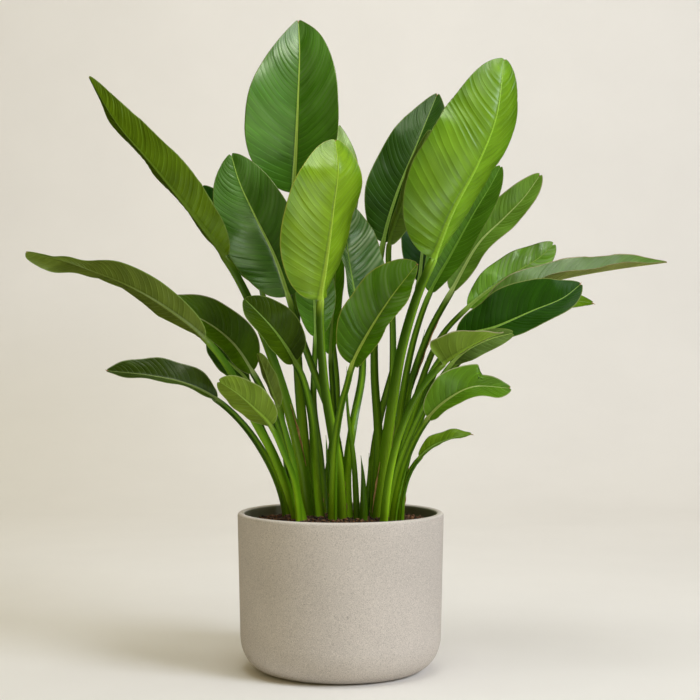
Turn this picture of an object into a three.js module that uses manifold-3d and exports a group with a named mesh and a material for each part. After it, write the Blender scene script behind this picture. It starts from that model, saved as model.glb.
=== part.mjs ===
// Potted bird of paradise: a house plant of broad paddle leaves on long stalks, in a plain round planter.
// Millimetres, +Z up. The origin is the middle of the pot's flat underside, and the plant's front faces -Y.

import * as THREE from 'three';
import { mergeVertices } from 'three/addons/utils/BufferGeometryUtils.js';
import Module from 'manifold-3d';

// Pot: a thick-walled planter, 305 mm (12 inches) across its lip
const POT_RADIUS = 152.5;
const POT_HEIGHT = 232;
const POT_TAPER = 4;
const POT_WALL = 11;
const POT_FLOOR = 14;
const LIP_RADIUS = 4.5;
const CORNER_WIDTH = 42;
const CORNER_HEIGHT = 52;
const POT_SIDES = 48;

// Soil: it fills the pot to a little below the lip
const SOIL_EDGE = 216;
const SOIL_RISE = 7;
const SOIL_LUMP = 1.1;
const SOIL_SIDES = 30;
const FIT_GAP = 0.3;

// Stalks stand in holes of this depth, measured from where they leave the soil
const SOIL_LEVEL = 218;
const ROOT_DEPTH = 40;
const ROOT_DRAW = 0.98;
const HOLE_GAP = 0.5;

// A leaf's path is read on the front elevation, in millimetres at the pot's middle, as seen from this eye.
// The third number moves a point back along its line of sight, the further the higher it stands, by LEAN a
// millimetre: the clump opens towards the front and back as it does to the sides.
const EYE = { x: 13.8, z: 471.6, distance: 2250 };
const LEAN = 0.0018;

// Blade and section of every leaf: depths as shares of the radius, the groove's half slope in degrees, the
// rib's radius at the collar as a share of the stalk's and at the tip in millimetres, and the angle between
// the waves of the two margins
const BLADE = 0.9;
const STALK_STEPS = 6;
const BLADE_STEPS = [0, 0.04, 0.12, 0.25, 0.4, 0.56, 0.71, 0.84, 0.94, 1];
const SECTION = [1, 0.86, 0.5, 0];
const STALK_DEPTH = 1.5;
const STALK_TAPER = 0.8;
const GROOVE = 25;
const GROOVE_OPEN = 0.04;
const RIB_AT_COLLAR = 0.9;
const RIB_AT_TIP = 0.8;
const MARGIN_SHIFT = 1.7;
const TEAR_LENGTH = 0.03;
const SPEAR_SIDES = 8;
const SPEAR_STEPS = [0, 0.3, 0.55, 0.75, 0.88, 0.96, 1];

const TONES = {
  lime: '#8cab35',
  fresh: '#6a9a35',
  mid: '#4d7f33',
  deep: '#3a6a28',
  dusky: '#2c5520',
};

// Each leaf: root = where its stalk leaves the soil (x, y); stalk and rib = its path up to the collar and on
// along the midrib to the tip; half = half widths of the blade, to either side of the rib; roll = how far the
// upper face is turned from the front, and fold = how far the halves stand up from flat, in degrees, all from
// collar to tip; cup = lift of a half between rib and margin; wave, waves and phase = of its margins;
// widest = where along the blade it is widest; ease = roundness of its base and tip; radii = of the stalk.
const LEAVES = [
  {
    name: 'leaf_crown', tone: 'mid', root: [-48, 34],
    stalk: [[-54, 330, 36], [-62, 425, 38], [-67, 540, 36], [-69, 640, 30]],
    rib: [[-70, 705, 24], [-67, 760, 18], [-63, 850, 14], [-61, 915, 16], [-63, 962, 24]],
    half: [82, 86], roll: [-15, -15, -12],
    fold: [30, 28, 18], cup: [-0.03, -0.06],
    widest: 0.36, ease: [0.62, 0.95], radii: [9, 5], wave: 2.2, waves: 2, phase: 0.6,
  },
  {
    name: 'leaf_front_lime', tone: 'lime', root: [0, -34],
    stalk: [[-5, 300, -46], [-14, 352, -50], [-25, 420, -56], [-31, 500, -60]],
    rib: [[-31, 546, -62], [-22, 602, -66], [-11, 680, -72], [-4, 737, -73], [-8, 784, -60]],
    half: [61, 71], roll: [220, 213, 199],
    fold: [37, 32, 14], cup: [0, -0.1],
    widest: 0.4, ease: [0.44, 0.56], radii: [8, 5], wave: 1.2, waves: 2.5, phase: 0,
  },
  {
    name: 'leaf_left_mid', tone: 'mid', root: [4, 14],
    stalk: [[0, 300, 14], [-12, 365, 16], [-34, 425, 20], [-58, 490, 18]],
    rib: [[-78, 552, 8], [-98, 610, 0], [-128, 672, -8], [-150, 720, -8], [-163, 763, -2]],
    half: [62, 62], roll: [-13, -13, -10],
    fold: [24, 21, 14], cup: [-0.05, -0.1],
    widest: 0.41, ease: [0.54, 0.7], radii: [7, 4.5], wave: 2, waves: 2.5, phase: 2.1,
  },
  {
    name: 'leaf_right_big', tone: 'fresh', root: [50, -30],
    stalk: [[61, 290, -38], [75, 388, -50], [89, 470, -58], [112, 550, -66]],
    rib: [[137, 608, -72], [164, 675, -78], [204, 750, -80], [230, 815, -74], [243, 904, -60]],
    half: [60, 81], roll: [214, 213, 200],
    fold: [36, 33, 14], cup: [0, 0],
    widest: 0.4, ease: [0.5, 0.56], radii: [9, 5.5], wave: 2, waves: 2.5, phase: 1.2,
  },
  {
    name: 'leaf_back_dark', tone: 'dusky', root: [54, 44],
    stalk: [[56, 340, 58], [50, 440, 66], [52, 540, 70]],
    rib: [[63, 632, 70], [82, 700, 66], [110, 770, 66], [144, 853, 74]],
    half: [52, 62], roll: [-20, -18, -14],
    fold: [22, 18, 12], cup: [-0.03, -0.05],
    widest: 0.38, ease: [0.62, 0.85], radii: [8, 4.5], wave: 2, waves: 2.5, phase: 3,
  },
  {
    name: 'leaf_olive_fold', tone: 'fresh', root: [70, 22],
    stalk: [[71, 350, 22], [77, 430, 20], [77, 520, 14]],
    rib: [[72, 628, 6], [92, 690, 2], [108, 745, 0], [132, 800, 4]],
    half: [30, 15], roll: [158, 158, 158],
    fold: [42, 40, 30], cup: [-0.03, -0.05],
    widest: 0.45, ease: [0.62, 0.8], radii: [6.5, 4], wave: 1.2, waves: 2.5, phase: 0,
  },
  {
    name: 'leaf_right_dark', tone: 'dusky', root: [72, 4],
    stalk: [[84, 345, 10], [96, 430, 12], [112, 500, 16]],
    rib: [[133, 558, 18], [163, 612, 14], [196, 672, 12], [222, 715, 12], [238, 745, 14]],
    half: [40, 37], roll: [-25, -25, -20],
    fold: [30, 30, 20], cup: [-0.03, -0.05],
    widest: 0.45, ease: [0.62, 0.75], radii: [7, 4], wave: 1.8, waves: 2.5, phase: 4,
  },
  {
    name: 'leaf_right_upper', tone: 'mid', root: [68, 62],
    stalk: [[80, 340, 70], [106, 430, 80], [132, 500, 84]],
    rib: [[165, 560, 80], [205, 630, 70], [243, 668, 62], [272, 698, 56], [297, 733, 52]],
    half: [34, 34], roll: [-30, -30, -24],
    fold: [30, 30, 20], cup: [-0.03, -0.05],
    widest: 0.48, ease: [0.62, 0.6], radii: [7.5, 4.5], wave: 2, waves: 2.5, phase: 0.5,
  },
  {
    name: 'leaf_right_gloss', tone: 'fresh', root: [82, 50],
    stalk: [[94, 330, 60], [118, 420, 72], [148, 490, 80]],
    rib: [[190, 536, 80], [222, 562, 74], [258, 586, 66], [295, 609, 58], [317, 630, 54]],
    half: [32, 32], roll: [-10, -16, -16],
    fold: [18, 16, 10], cup: [-0.03, -0.05],
    widest: 0.48, ease: [0.75, 0.6], radii: [6.5, 4], wave: 2.2, waves: 3, phase: 2.6,
  },
  {
    name: 'leaf_right_long', tone: 'mid', root: [84, 18],
    stalk: [[92, 300, 26], [118, 390, 36], [153, 470, 40]],
    rib: [[215, 540, 30], [275, 566, 22], [335, 580, 18], [400, 591, 18], [485, 602, 24]],
    half: [36, 34], roll: [-66, -69, -72],
    fold: [34, 36, 34], cup: [-0.03, -0.05],
    widest: 0.42, ease: [0.62, 0.75], radii: [6.5, 4], wave: 2.4, waves: 3, phase: 5,
  },
  {
    name: 'leaf_right_broad', tone: 'deep', root: [82, -20],
    stalk: [[89, 300, -15], [106, 370, -11], [136, 440, -10]],
    rib: [[175, 488, -12], [230, 506, -17], [285, 530, -19], [330, 549, -18], [357, 570, -12]],
    half: [50, 38], roll: [-26, -28, -26],
    fold: [30, 28, 18], cup: [-0.03, -0.05],
    widest: 0.45, ease: [0.62, 0.68], radii: [6.5, 4], wave: 1.6, waves: 2.5, phase: 1.5,
  },
  {
    name: 'leaf_right_behind', tone: 'deep', root: [86, -6],
    stalk: [[96, 300, 2], [111, 350, 6], [132, 398, 12], [172, 450, 20]],
    rib: [[232, 512, 22], [290, 535, 18], [335, 545, 16], [375, 541, 16]],
    half: [22, 22], roll: [-30, -35, -40],
    fold: [20, 20, 16], cup: [-0.03, -0.05],
    widest: 0.42, ease: [0.62, 0.7], radii: [5.5, 3.5], wave: 1.2, waves: 2.5, phase: 3.3,
  },
  {
    name: 'leaf_pale_lobe', tone: 'fresh', root: [60, -84],
    stalk: [[72, 292, -88], [88, 352, -88], [116, 412, -88]],
    rib: [[152, 452, -90], [182, 472, -94], [212, 488, -92], [242, 498, -84]],
    half: [18, 37], roll: [225, 225, 220],
    fold: [36, 36, 28], cup: [-0.03, -0.05],
    widest: 0.08, ease: [0.3, 2], radii: [5.5, 3.8], wave: 1.2, waves: 2.5, phase: 0,
  },
  {
    name: 'leaf_grey_low', tone: 'mid', root: [72, -32],
    stalk: [[82, 285, -42], [100, 338, -48], [131, 402, -54]],
    rib: [[165, 452, -58], [186, 471, -63], [222, 488, -67], [257, 497, -67]],
    half: [17, 17], roll: [10, 10, 6],
    fold: [20, 18, 12], cup: [-0.03, -0.05],
    widest: 0.4, ease: [0.62, 0.6], radii: [5, 3.5], wave: 1.2, waves: 2.5, phase: 1,
  },
  {
    name: 'leaf_low_right', tone: 'deep', root: [74, -62],
    stalk: [[84, 262, -74], [102, 322, -92]],
    rib: [[130, 371, -104], [158, 398, -110], [196, 417, -112], [253, 415, -108]],
    half: [35, 37], roll: [-37, -37, -30],
    fold: [38, 37, 26], cup: [-0.03, -0.05],
    widest: 0.48, ease: [0.62, 0.6], radii: [5.5, 3.8], wave: 1.8, waves: 2.5, phase: 2,
    torn: { at: 0.66, share: 0.55 },
  },
  {
    name: 'leaf_low_small', tone: 'deep', root: [86, -38],
    stalk: [[91, 258, -42], [102, 292, -48]],
    rib: [[117, 313, -52], [138, 330, -56], [165, 341, -58], [195, 347, -56]],
    half: [16, 16], roll: [-56, -60, -60],
    fold: [30, 30, 22], cup: [-0.03, -0.05],
    widest: 0.42, ease: [0.62, 0.65], radii: [4.5, 3], wave: 1.2, waves: 2.5, phase: 3,
  },
  {
    name: 'leaf_far_left', tone: 'mid', root: [-62, -32],
    stalk: [[-77, 262, -40], [-101, 320, -54], [-128, 369, -70], [-166, 445, -92]],
    rib: [[-203, 491, -102], [-253, 530, -104], [-310, 565, -100], [-389, 596, -92], [-468, 617, -84]],
    half: [28, 32], roll: [148, 153, 158, 146, 134, 138, 188, 226, 232],
    fold: [36, 36, 35, 34, 34, 32, 30, 30, 30], cup: [-0.03, -0.05],
    widest: 0.38, ease: [0.62, 0.46], radii: [7, 4.2], wave: 1.6, waves: 2.5, phase: 1,
    waist: { at: 0.72, depth: 0.6, reach: 0.11 },
  },
  {
    name: 'leaf_upper_left', tone: 'mid', root: [-44, 2],
    stalk: [[-53, 290, -4], [-78, 392, -10], [-108, 482, -18], [-145, 567, -28]],
    rib: [[-171, 610, -34], [-220, 674, -40], [-282, 750, -42], [-331, 807, -36], [-374, 878, -24]],
    half: [39, 35], roll: [136, 136, 140],
    fold: [38, 38, 30], cup: [-0.03, -0.05],
    widest: 0.36, ease: [0.62, 0.85], radii: [9, 5], wave: 2, waves: 3, phase: 0.8,
  },
  {
    name: 'leaf_left_broad', tone: 'dusky', root: [-65, 43],
    stalk: [[-78, 310, 42], [-97, 368, 36], [-117, 414, 26]],
    rib: [[-131, 440, 18], [-158, 480, 6], [-194, 510, -6], [-240, 531, -16], [-288, 541, -20]],
    half: [50, 40], roll: [36, 36, 30],
    fold: [36, 35, 24], cup: [-0.03, -0.05],
    widest: 0.35, ease: [0.62, 0.9], radii: [7, 4.5], wave: 2, waves: 2.5, phase: 2.4,
  },
  {
    name: 'leaf_left_centre', tone: 'deep', root: [-30, -26],
    stalk: [[-37, 290, -30], [-42, 370, -34], [-56, 430, -40]],
    rib: [[-68, 454, -44], [-86, 484, -52], [-106, 510, -56], [-143, 548, -54]],
    half: [38, 38], roll: [32, 32, 24],
    fold: [33, 32, 22], cup: [-0.03, -0.05],
    widest: 0.42, ease: [0.62, 0.65], radii: [8, 4.5], wave: 1.6, waves: 2.5, phase: 4.4,
  },
  {
    name: 'leaf_lower_left', tone: 'dusky', root: [-78, 6],
    stalk: [[-87, 262, 4], [-107, 308, -4], [-142, 360, -14]],
    rib: [[-184, 399, -24], [-230, 422, -34], [-284, 434, -38], [-348, 441, -36]],
    half: [31, 31], roll: [50, 50, 46],
    fold: [36, 35, 28], cup: [-0.03, -0.05],
    widest: 0.42, ease: [0.62, 0.75], radii: [6, 4], wave: 1.8, waves: 3, phase: 1.9,
  },
  {
    name: 'leaf_small_light', tone: 'fresh', root: [-59, -58],
    stalk: [[-68, 276, -76], [-84, 318, -98]],
    rib: [[-104, 360, -110], [-127, 384, -118], [-152, 406, -120], [-182, 426, -116]],
    half: [28, 27], roll: [158, 158, 160],
    fold: [22, 22, 14], cup: [-0.03, -0.05],
    widest: 0.42, ease: [0.5, 0.55], radii: [5, 3.6], wave: 1.8, waves: 2.5, phase: 0.4,
  },
  {
    name: 'leaf_left_hidden', tone: 'dusky', root: [-74, 22],
    stalk: [[-92, 300, 34], [-120, 362, 42]],
    rib: [[-138, 426, 42], [-160, 448, 36], [-180, 466, 30], [-198, 483, 28]],
    half: [20, 20], roll: [-30, -26, -20],
    fold: [20, 16, 10], cup: [-0.03, -0.05],
    widest: 0.42, ease: [0.62, 0.65], radii: [5.5, 3.8], wave: 1.2, waves: 2.5, phase: 0,
  },
  {
    name: 'leaf_narrow_fold', tone: 'mid', root: [-52, -48],
    stalk: [[-62, 252, -52], [-70, 305, -60], [-80, 345, -66]],
    rib: [[-93, 388, -70], [-102, 412, -72], [-112, 440, -72], [-123, 468, -70]],
    half: [15, 15], roll: [150, 150, 150],
    fold: [45, 40, 30], cup: [-0.03, -0.05],
    widest: 0.42, ease: [0.62, 0.65], radii: [5, 3.4], wave: 1.2, waves: 2.5, phase: 0,
  },
  {
    name: 'leaf_centre_gloss', tone: 'deep', root: [12, -24],
    stalk: [[10, 290, -16], [20, 365, 0], [33, 440, 34]],
    rib: [[29, 510, 58], [20, 560, 50], [10, 625, 40], [8, 690, 32]],
    half: [40, 55], roll: [38, 38, 30],
    fold: [42, 42, 30], cup: [-0.03, -0.05],
    widest: 0.45, ease: [0.62, 0.7], radii: [7, 4.5], wave: 1.8, waves: 2.5, phase: 0.9,
  },
  {
    name: 'leaf_front_right', tone: 'mid', root: [-12, -62],
    stalk: [[-9, 330, -76], [0, 388, -84], [9, 420, -88]],
    rib: [[17, 450, -90], [42, 499, -96], [72, 546, -104], [98, 580, -116], [114, 600, -128]],
    half: [50, 50], roll: [-35, -35, -28],
    fold: [36, 35, 24], cup: [-0.03, -0.05],
    widest: 0.38, ease: [0.5, 0.62], radii: [6, 4], wave: 2, waves: 2.5, phase: 3.6,
  },
  {
    name: 'leaf_back_right', tone: 'dusky', root: [44, 84],
    stalk: [[52, 340, 92], [80, 450, 102], [104, 520, 108]],
    rib: [[116, 574, 110], [121, 620, 110], [125, 668, 112], [125, 722, 118]],
    half: [42, 42], roll: [16, 12, 8],
    fold: [16, 14, 10], cup: [-0.03, -0.05],
    widest: 0.45, ease: [0.62, 0.7], radii: [6.5, 4], wave: 1.2, waves: 2.5, phase: 2.2,
  },
  {
    name: 'leaf_blue_gloss', tone: 'deep', root: [-24, 22],
    stalk: [[-30, 310, 26], [-40, 390, 30], [-39, 450, 34]],
    rib: [[-37, 492, 34], [-39, 540, 30], [-44, 590, 28], [-48, 640, 30]],
    half: [34, 34], roll: [20, 18, 14],
    fold: [24, 20, 14], cup: [-0.03, -0.05],
    widest: 0.42, ease: [0.62, 0.7], radii: [6, 4], wave: 1.2, waves: 2.5, phase: 5.1,
  },
  {
    name: 'leaf_centre_dark', tone: 'dusky', root: [-10, 48],
    stalk: [[-8, 320, 56], [-12, 410, 62]],
    rib: [[-15, 466, 62], [-12, 520, 58], [-8, 580, 56], [-5, 640, 60]],
    half: [24, 24], roll: [-27, -27, -20],
    fold: [30, 30, 20], cup: [-0.03, -0.05],
    widest: 0.42, ease: [0.62, 0.7], radii: [5.5, 3.8], wave: 1.2, waves: 2.5, phase: 0,
  },
  {
    name: 'leaf_behind_lime', tone: 'mid', root: [-26, 60],
    stalk: [[-6, 400, 84], [-14, 500, 92]],
    rib: [[-23, 600, 92], [-18, 670, 86], [-8, 740, 84], [-3, 806, 90]],
    half: [46, 46], roll: [-6, -4, 0],
    fold: [18, 14, 10], cup: [-0.03, -0.05],
    widest: 0.42, ease: [0.62, 0.9], radii: [7, 4.2], wave: 1.8, waves: 2.5, phase: 1.1,
  },
  {
    name: 'leaf_left_peek', tone: 'dusky', root: [-74, 70],
    stalk: [[-84, 340, 84], [-100, 450, 96]],
    rib: [[-120, 570, 100], [-146, 620, 94], [-176, 668, 84], [-206, 715, 78]],
    half: [34, 34], roll: [16, 10, 4],
    fold: [18, 14, 10], cup: [-0.03, -0.05],
    widest: 0.42, ease: [0.62, 0.65], radii: [6.5, 4], wave: 1.2, waves: 2.5, phase: 2.9,
  },
];

// Young leaves still rolled up: root and path as above, half = radius at the root
const SPEARS = [
  {
    name: 'spear_front_left', root: [-13, -30], half: 6,
    path: [[-15, 262, -32], [-19, 305, -33], [-22, 345, -32]],
  },
  {
    name: 'spear_centre', root: [-5, 0], half: 5,
    path: [[-3, 262, -2], [-1, 302, -2], [1, 336, -4]],
  },
  {
    name: 'spear_right_front', root: [33, -52], half: 7,
    path: [[34, 250, -54], [33, 285, -55], [30, 315, -54]],
  },
  {
    name: 'spear_right_back', root: [36, -26], half: 5.5,
    path: [[40, 255, -28], [42, 288, -28], [42, 319, -26]],
  },
  {
    name: 'spear_tall_right', root: [84, 34], half: 5,
    path: [[94, 350, 44], [106, 425, 50], [125, 502, 56]],
  },
  {
    name: 'spear_curled', root: [24, -42], half: 5,
    path: [[20, 300, -46], [10, 390, -52], [9, 447, -60]],
  },
];

const { degToRad, lerp, smoothstep } = THREE.MathUtils;
const wasm = await Module();
wasm.setup();

// The value at t, from 0 to 1, of a list of values spaced evenly
function along(values, t) {
  const place = Math.min(t, 0.999999) * (values.length - 1);
  const first = Math.floor(place);
  return lerp(values[first], values[first + 1], place - first);
}

function onSight([u, w, depth]) {
  const back = depth * (1 + LEAN * (w - SOIL_LEVEL));
  const reach = 1 + back / EYE.distance;
  return new THREE.Vector3(EYE.x + (u - EYE.x) * reach, back, EYE.z + (w - EYE.z) * reach);
}

// The smooth line from a root in the soil to the tip, with the lengths along it to the soil and to each bend
function spineOf([x, y], bends) {
  const buried = new THREE.Vector3(x * ROOT_DRAW, y * ROOT_DRAW, SOIL_LEVEL - ROOT_DEPTH);
  const points = [buried, new THREE.Vector3(x, y, SOIL_LEVEL), ...bends.map(onSight)];
  const curve = new THREE.CatmullRomCurve3(points, false, 'centripetal');
  const divisions = 40;
  curve.arcLengthDivisions = divisions * (points.length - 1);
  const lengths = curve.getLengths();
  const lengthTo = (bend) => lengths[divisions * bend];
  return { curve, total: lengths.at(-1), soil: lengthTo(1), lengthTo };
}

// Where a section stands: its middle, the side that a leaf's right half points to, and its upper face
function frameAt(spine, length, roll) {
  const reach = 2;
  const at = (s) => spine.curve.getPointAt(THREE.MathUtils.clamp(s / spine.total, 0, 1));
  const tangent = at(length + reach).sub(at(length - reach)).normalize();
  const front = new THREE.Vector3(0, -1, 0);
  const face = front.addScaledVector(tangent, -front.dot(tangent)).normalize();
  const cross = new THREE.Vector3().crossVectors(tangent, face);
  const up = face.multiplyScalar(Math.cos(roll)).addScaledVector(cross, Math.sin(roll));
  const side = new THREE.Vector3().crossVectors(tangent, up);
  return { middle: at(length), side, up };
}

// Half width of the blade at t as a share of its greatest: an egg shape, with a waist if it has one
function outline(leaf, t) {
  const [baseEase, tipEase] = leaf.ease;
  const off = t < leaf.widest ? (leaf.widest - t) / leaf.widest : (t - leaf.widest) / (1 - leaf.widest);
  const share = Math.max(1 - off * off, 0) ** (t < leaf.widest ? baseEase : tipEase);
  if (!leaf.waist) return share;
  const { at, depth, reach } = leaf.waist;
  return share * (1 - depth * Math.exp(-(((t - at) / reach) ** 2)));
}

// What a tear leaves of the width past it
function tornShare({ at, share }, t) {
  return lerp(1, share, smoothstep(t, at, at + TEAR_LENGTH));
}

// One section of a leaf: 5 points across its upper face and 7 back under it, round the midrib
function leafSection(leaf, spine, length) {
  const collar = spine.lengthTo(2 + leaf.stalk.length);
  const onBlade = length > collar - 1e-6;
  const t = onBlade ? (length - collar) / (spine.total - collar) : 0;
  const grown = THREE.MathUtils.clamp((length - spine.soil) / (collar - spine.soil), 0, 1);
  const [baseRadius, collarRadius] = leaf.radii;
  const greatest = Math.max(...leaf.half);
  const share = outline(leaf, t);
  let rib = lerp(baseRadius, collarRadius, grown ** STALK_TAPER);
  let ribDepth = rib * STALK_DEPTH;
  let half = rib;
  let fold = degToRad(GROOVE);
  let cup = 0;
  if (onBlade) {
    rib = Math.min(collarRadius * RIB_AT_COLLAR * (1 - t) ** STALK_TAPER + RIB_AT_TIP, collarRadius);
    ribDepth = collarRadius * STALK_DEPTH * (1 - t) ** 0.9 + 0.4;
    half = Math.max(rib, 1.2) + (greatest - rib) * share;
    const opened = smoothstep(t, 0, GROOVE_OPEN);
    fold = degToRad(lerp(GROOVE, along(leaf.fold, t), opened));
    cup = along(leaf.cup, t);
  }
  const { middle, side, up } = frameAt(spine, length, degToRad(along(leaf.roll, t)));
  const ribShare = Math.min(rib / half, 1);
  const spots = onBlade && ribShare <= 0.8 ? [1, 0.5 + 0.45 * ribShare, ribShare, 0] : SECTION;
  const soft = 0.6 * rib;
  const point = (x, under) => {
    let reach = half;
    if (onBlade) {
      const part = leaf.half[x < 0 ? 0 : 1] / greatest;
      const kept = leaf.torn && x < 0 ? tornShare(leaf.torn, t) : 1;
      reach = Math.max(half * part * kept, rib);
    }
    let across = Math.abs(x) * reach;
    let height = Math.tan(fold) * (Math.hypot(across, soft) - soft);
    if (onBlade) {
      across *= Math.cos(fold);
      height *= Math.cos(fold);
      const turn = 2 * Math.PI * leaf.waves * t + leaf.phase + (x > 0 ? MARGIN_SHIFT : 0);
      height += cup * half * x * x + leaf.wave * x * x * Math.sin(turn) * Math.min(1, share * 2);
    }
    if (under) {
      const overRib = Math.min(Math.abs(x) / ribShare, 1);
      height -= BLADE + ribDepth * Math.sqrt(Math.max(1 - overRib * overRib, 0));
    }
    return middle.clone().addScaledVector(side, Math.sign(x) * across).addScaledVector(up, height);
  };
  const [edge, outer, inner, centre] = spots;
  const top = [-edge, -outer, centre, outer, edge].map((x) => point(x, false));
  const under = [edge, outer, inner, centre, -inner, -outer, -edge].map((x) => point(x, true));
  return [...top, ...under];
}

function middleOf(section) {
  return section.reduce((sum, p) => sum.add(p), new THREE.Vector3()).divideScalar(section.length);
}

// A closed skin over a row of sections with the same number of points. Both faces of a blade are split
// along the same diagonals: flipFrom is the first point of the face that runs the other way.
function skin(sections, flipFrom) {
  const count = sections[0].length;
  const index = [];
  for (let i = 0; i < sections.length - 1; i += 1) {
    for (let j = 0; j < count; j += 1) {
      const a = i * count + j;
      const b = i * count + ((j + 1) % count);
      const c = a + count;
      const d = b + count;
      if (j >= flipFrom && j < count - 1) index.push(a, b, d, a, d, c);
      else index.push(a, b, c, b, d, c);
    }
  }
  const last = (sections.length - 1) * count;
  const [foot, tip] = [last + count, last + count + 1];
  for (let j = 0; j < count; j += 1) {
    const onward = (j + 1) % count;
    index.push(foot, onward, j, tip, last + j, last + onward);
  }
  const ends = [middleOf(sections[0]), middleOf(sections.at(-1))];
  const geometry = new THREE.BufferGeometry().setFromPoints([...sections.flat(), ...ends]);
  geometry.setIndex(index);
  return geometry;
}

// Lengths along the spine at which a leaf has its sections
function leafLengths(leaf, spine) {
  const collar = spine.lengthTo(2 + leaf.stalk.length);
  const stalk = Array.from({ length: STALK_STEPS }, (_, k) => collar * (k / STALK_STEPS) ** 0.9);
  return [...stalk, ...BLADE_STEPS.map((t) => collar + t * (spine.total - collar))];
}

function leafSections(leaf) {
  const spine = spineOf(leaf.root, [...leaf.stalk, ...leaf.rib]);
  return leafLengths(leaf, spine).map((length) => leafSection(leaf, spine, length));
}

// A young leaf still rolled up: a round shoot that narrows to a point
function spearSections(spear) {
  const spine = spineOf(spear.root, spear.path);
  return SPEAR_STEPS.map((t) => {
    const { middle, side, up } = frameAt(spine, t * spine.total, 0);
    const radius = spear.half * Math.max(1 - t ** 2.2, 0.06);
    return Array.from({ length: SPEAR_SIDES }, (_, k) => {
      const turn = (2 * Math.PI * k) / SPEAR_SIDES;
      const out = side.clone().multiplyScalar(Math.cos(turn)).addScaledVector(up, -Math.sin(turn));
      return middle.clone().addScaledVector(out, radius);
    });
  });
}

// The buried end of a stalk, a little larger all round, as the cutter for its hole in the soil
function holeSections(sections) {
  const clear = sections.findIndex((section) => section.every((p) => p.z > SOIL_LEVEL + 2 * SOIL_RISE));
  return sections.slice(0, clear + 1).map((section, i) => {
    const middle = middleOf(section);
    return section.map((p) => {
      const out = p.clone().sub(middle);
      const grown = p.clone().addScaledVector(out.normalize(), HOLE_GAP);
      return i === 0 ? grown.setZ(grown.z - HOLE_GAP) : grown;
    });
  });
}

function arc(centreX, centreY, radiusX, radiusY, from, to, steps) {
  return Array.from({ length: steps + 1 }, (_, i) => {
    const turn = degToRad(lerp(from, to, i / steps));
    return new THREE.Vector2(centreX + radiusX * Math.cos(turn), centreY + radiusY * Math.sin(turn));
  });
}

function turned(profile, sides) {
  const geometry = new THREE.LatheGeometry(profile, sides);
  geometry.deleteAttribute('normal');
  geometry.deleteAttribute('uv');
  geometry.rotateX(Math.PI / 2);
  return mergeVertices(geometry, 1e-3);
}

function potGeometry() {
  const foot = POT_RADIUS - POT_TAPER;
  const inside = POT_RADIUS - POT_WALL;
  const insideFoot = foot - POT_WALL;
  const lipZ = POT_HEIGHT - LIP_RADIUS;
  return turned([
    new THREE.Vector2(0, 0),
    ...arc(foot - CORNER_WIDTH, CORNER_HEIGHT, CORNER_WIDTH, CORNER_HEIGHT, -90, 0, 5),
    ...arc(POT_RADIUS - LIP_RADIUS, lipZ, LIP_RADIUS, LIP_RADIUS, 0, 90, 2),
    ...arc(inside + LIP_RADIUS, lipZ, LIP_RADIUS, LIP_RADIUS, 90, 180, 2),
    ...arc(insideFoot - CORNER_WIDTH, POT_FLOOR + CORNER_HEIGHT, CORNER_WIDTH, CORNER_HEIGHT, 0, -90, 3),
    new THREE.Vector2(0, POT_FLOOR),
  ], POT_SIDES);
}

function soilGeometry(holes) {
  const floor = POT_FLOOR + FIT_GAP;
  const foot = POT_RADIUS - POT_TAPER - POT_WALL - FIT_GAP;
  const cornerTop = floor + CORNER_HEIGHT;
  const wallSlope = POT_TAPER / (POT_HEIGHT - LIP_RADIUS - POT_FLOOR - CORNER_HEIGHT);
  const edge = foot + wallSlope * (SOIL_EDGE - cornerTop) - FIT_GAP;
  const top = [1, 0.8, 0.5].map((share) => {
    return new THREE.Vector2(edge * share, SOIL_EDGE + SOIL_RISE * (1 - share * share));
  });
  const body = turned([
    new THREE.Vector2(0, floor),
    ...arc(foot - CORNER_WIDTH, cornerTop, CORNER_WIDTH, CORNER_HEIGHT, -90, 0, 3),
    ...top,
    new THREE.Vector2(0, SOIL_EDGE + SOIL_RISE),
  ], SOIL_SIDES);
  const at = body.getAttribute('position');
  for (let i = 0; i < at.count; i += 1) {
    if (at.getZ(i) > SOIL_EDGE + 0.01) {
      const x = at.getX(i);
      const y = at.getY(i);
      const lump = Math.sin(x / 13) * Math.cos(y / 11) + Math.sin((x + y) / 7);
      at.setZ(i, at.getZ(i) + SOIL_LUMP * lump);
    }
  }
  const flats = Math.cos(Math.PI / SOIL_SIDES);
  body.scale(flats, flats, 1);
  let solid = solidOf(body);
  for (const hole of holes) solid = solid.subtract(solidOf(hole));
  return geometryOf(solid);
}

function solidOf(geometry) {
  const vertProperties = new Float32Array(geometry.getAttribute('position').array);
  const triVerts = new Uint32Array(geometry.getIndex().array);
  return new wasm.Manifold(new wasm.Mesh({ numProp: 3, vertProperties, triVerts }));
}

function geometryOf(solid) {
  const { vertProperties, triVerts } = solid.getMesh();
  const geometry = new THREE.BufferGeometry();
  geometry.setAttribute('position', new THREE.BufferAttribute(vertProperties, 3));
  geometry.setIndex(new THREE.BufferAttribute(triVerts, 1));
  return geometry;
}

function addMesh(group, name, geometry, color, roughness) {
  geometry.computeVertexNormals();
  const material = new THREE.MeshStandardMaterial({ color, roughness, metalness: 0 });
  const mesh = new THREE.Mesh(geometry, material);
  mesh.name = name;
  group.add(mesh);
}

const plant = new THREE.Group();
const holes = [];

for (const leaf of LEAVES) {
  const sections = leafSections(leaf);
  holes.push(skin(holeSections(sections), sections[0].length));
  addMesh(plant, leaf.name, skin(sections, 5), TONES[leaf.tone], 0.45);
}

for (const spear of SPEARS) {
  const sections = spearSections(spear);
  holes.push(skin(holeSections(sections), SPEAR_SIDES));
  addMesh(plant, spear.name, skin(sections, SPEAR_SIDES), TONES.fresh, 0.5);
}

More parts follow.
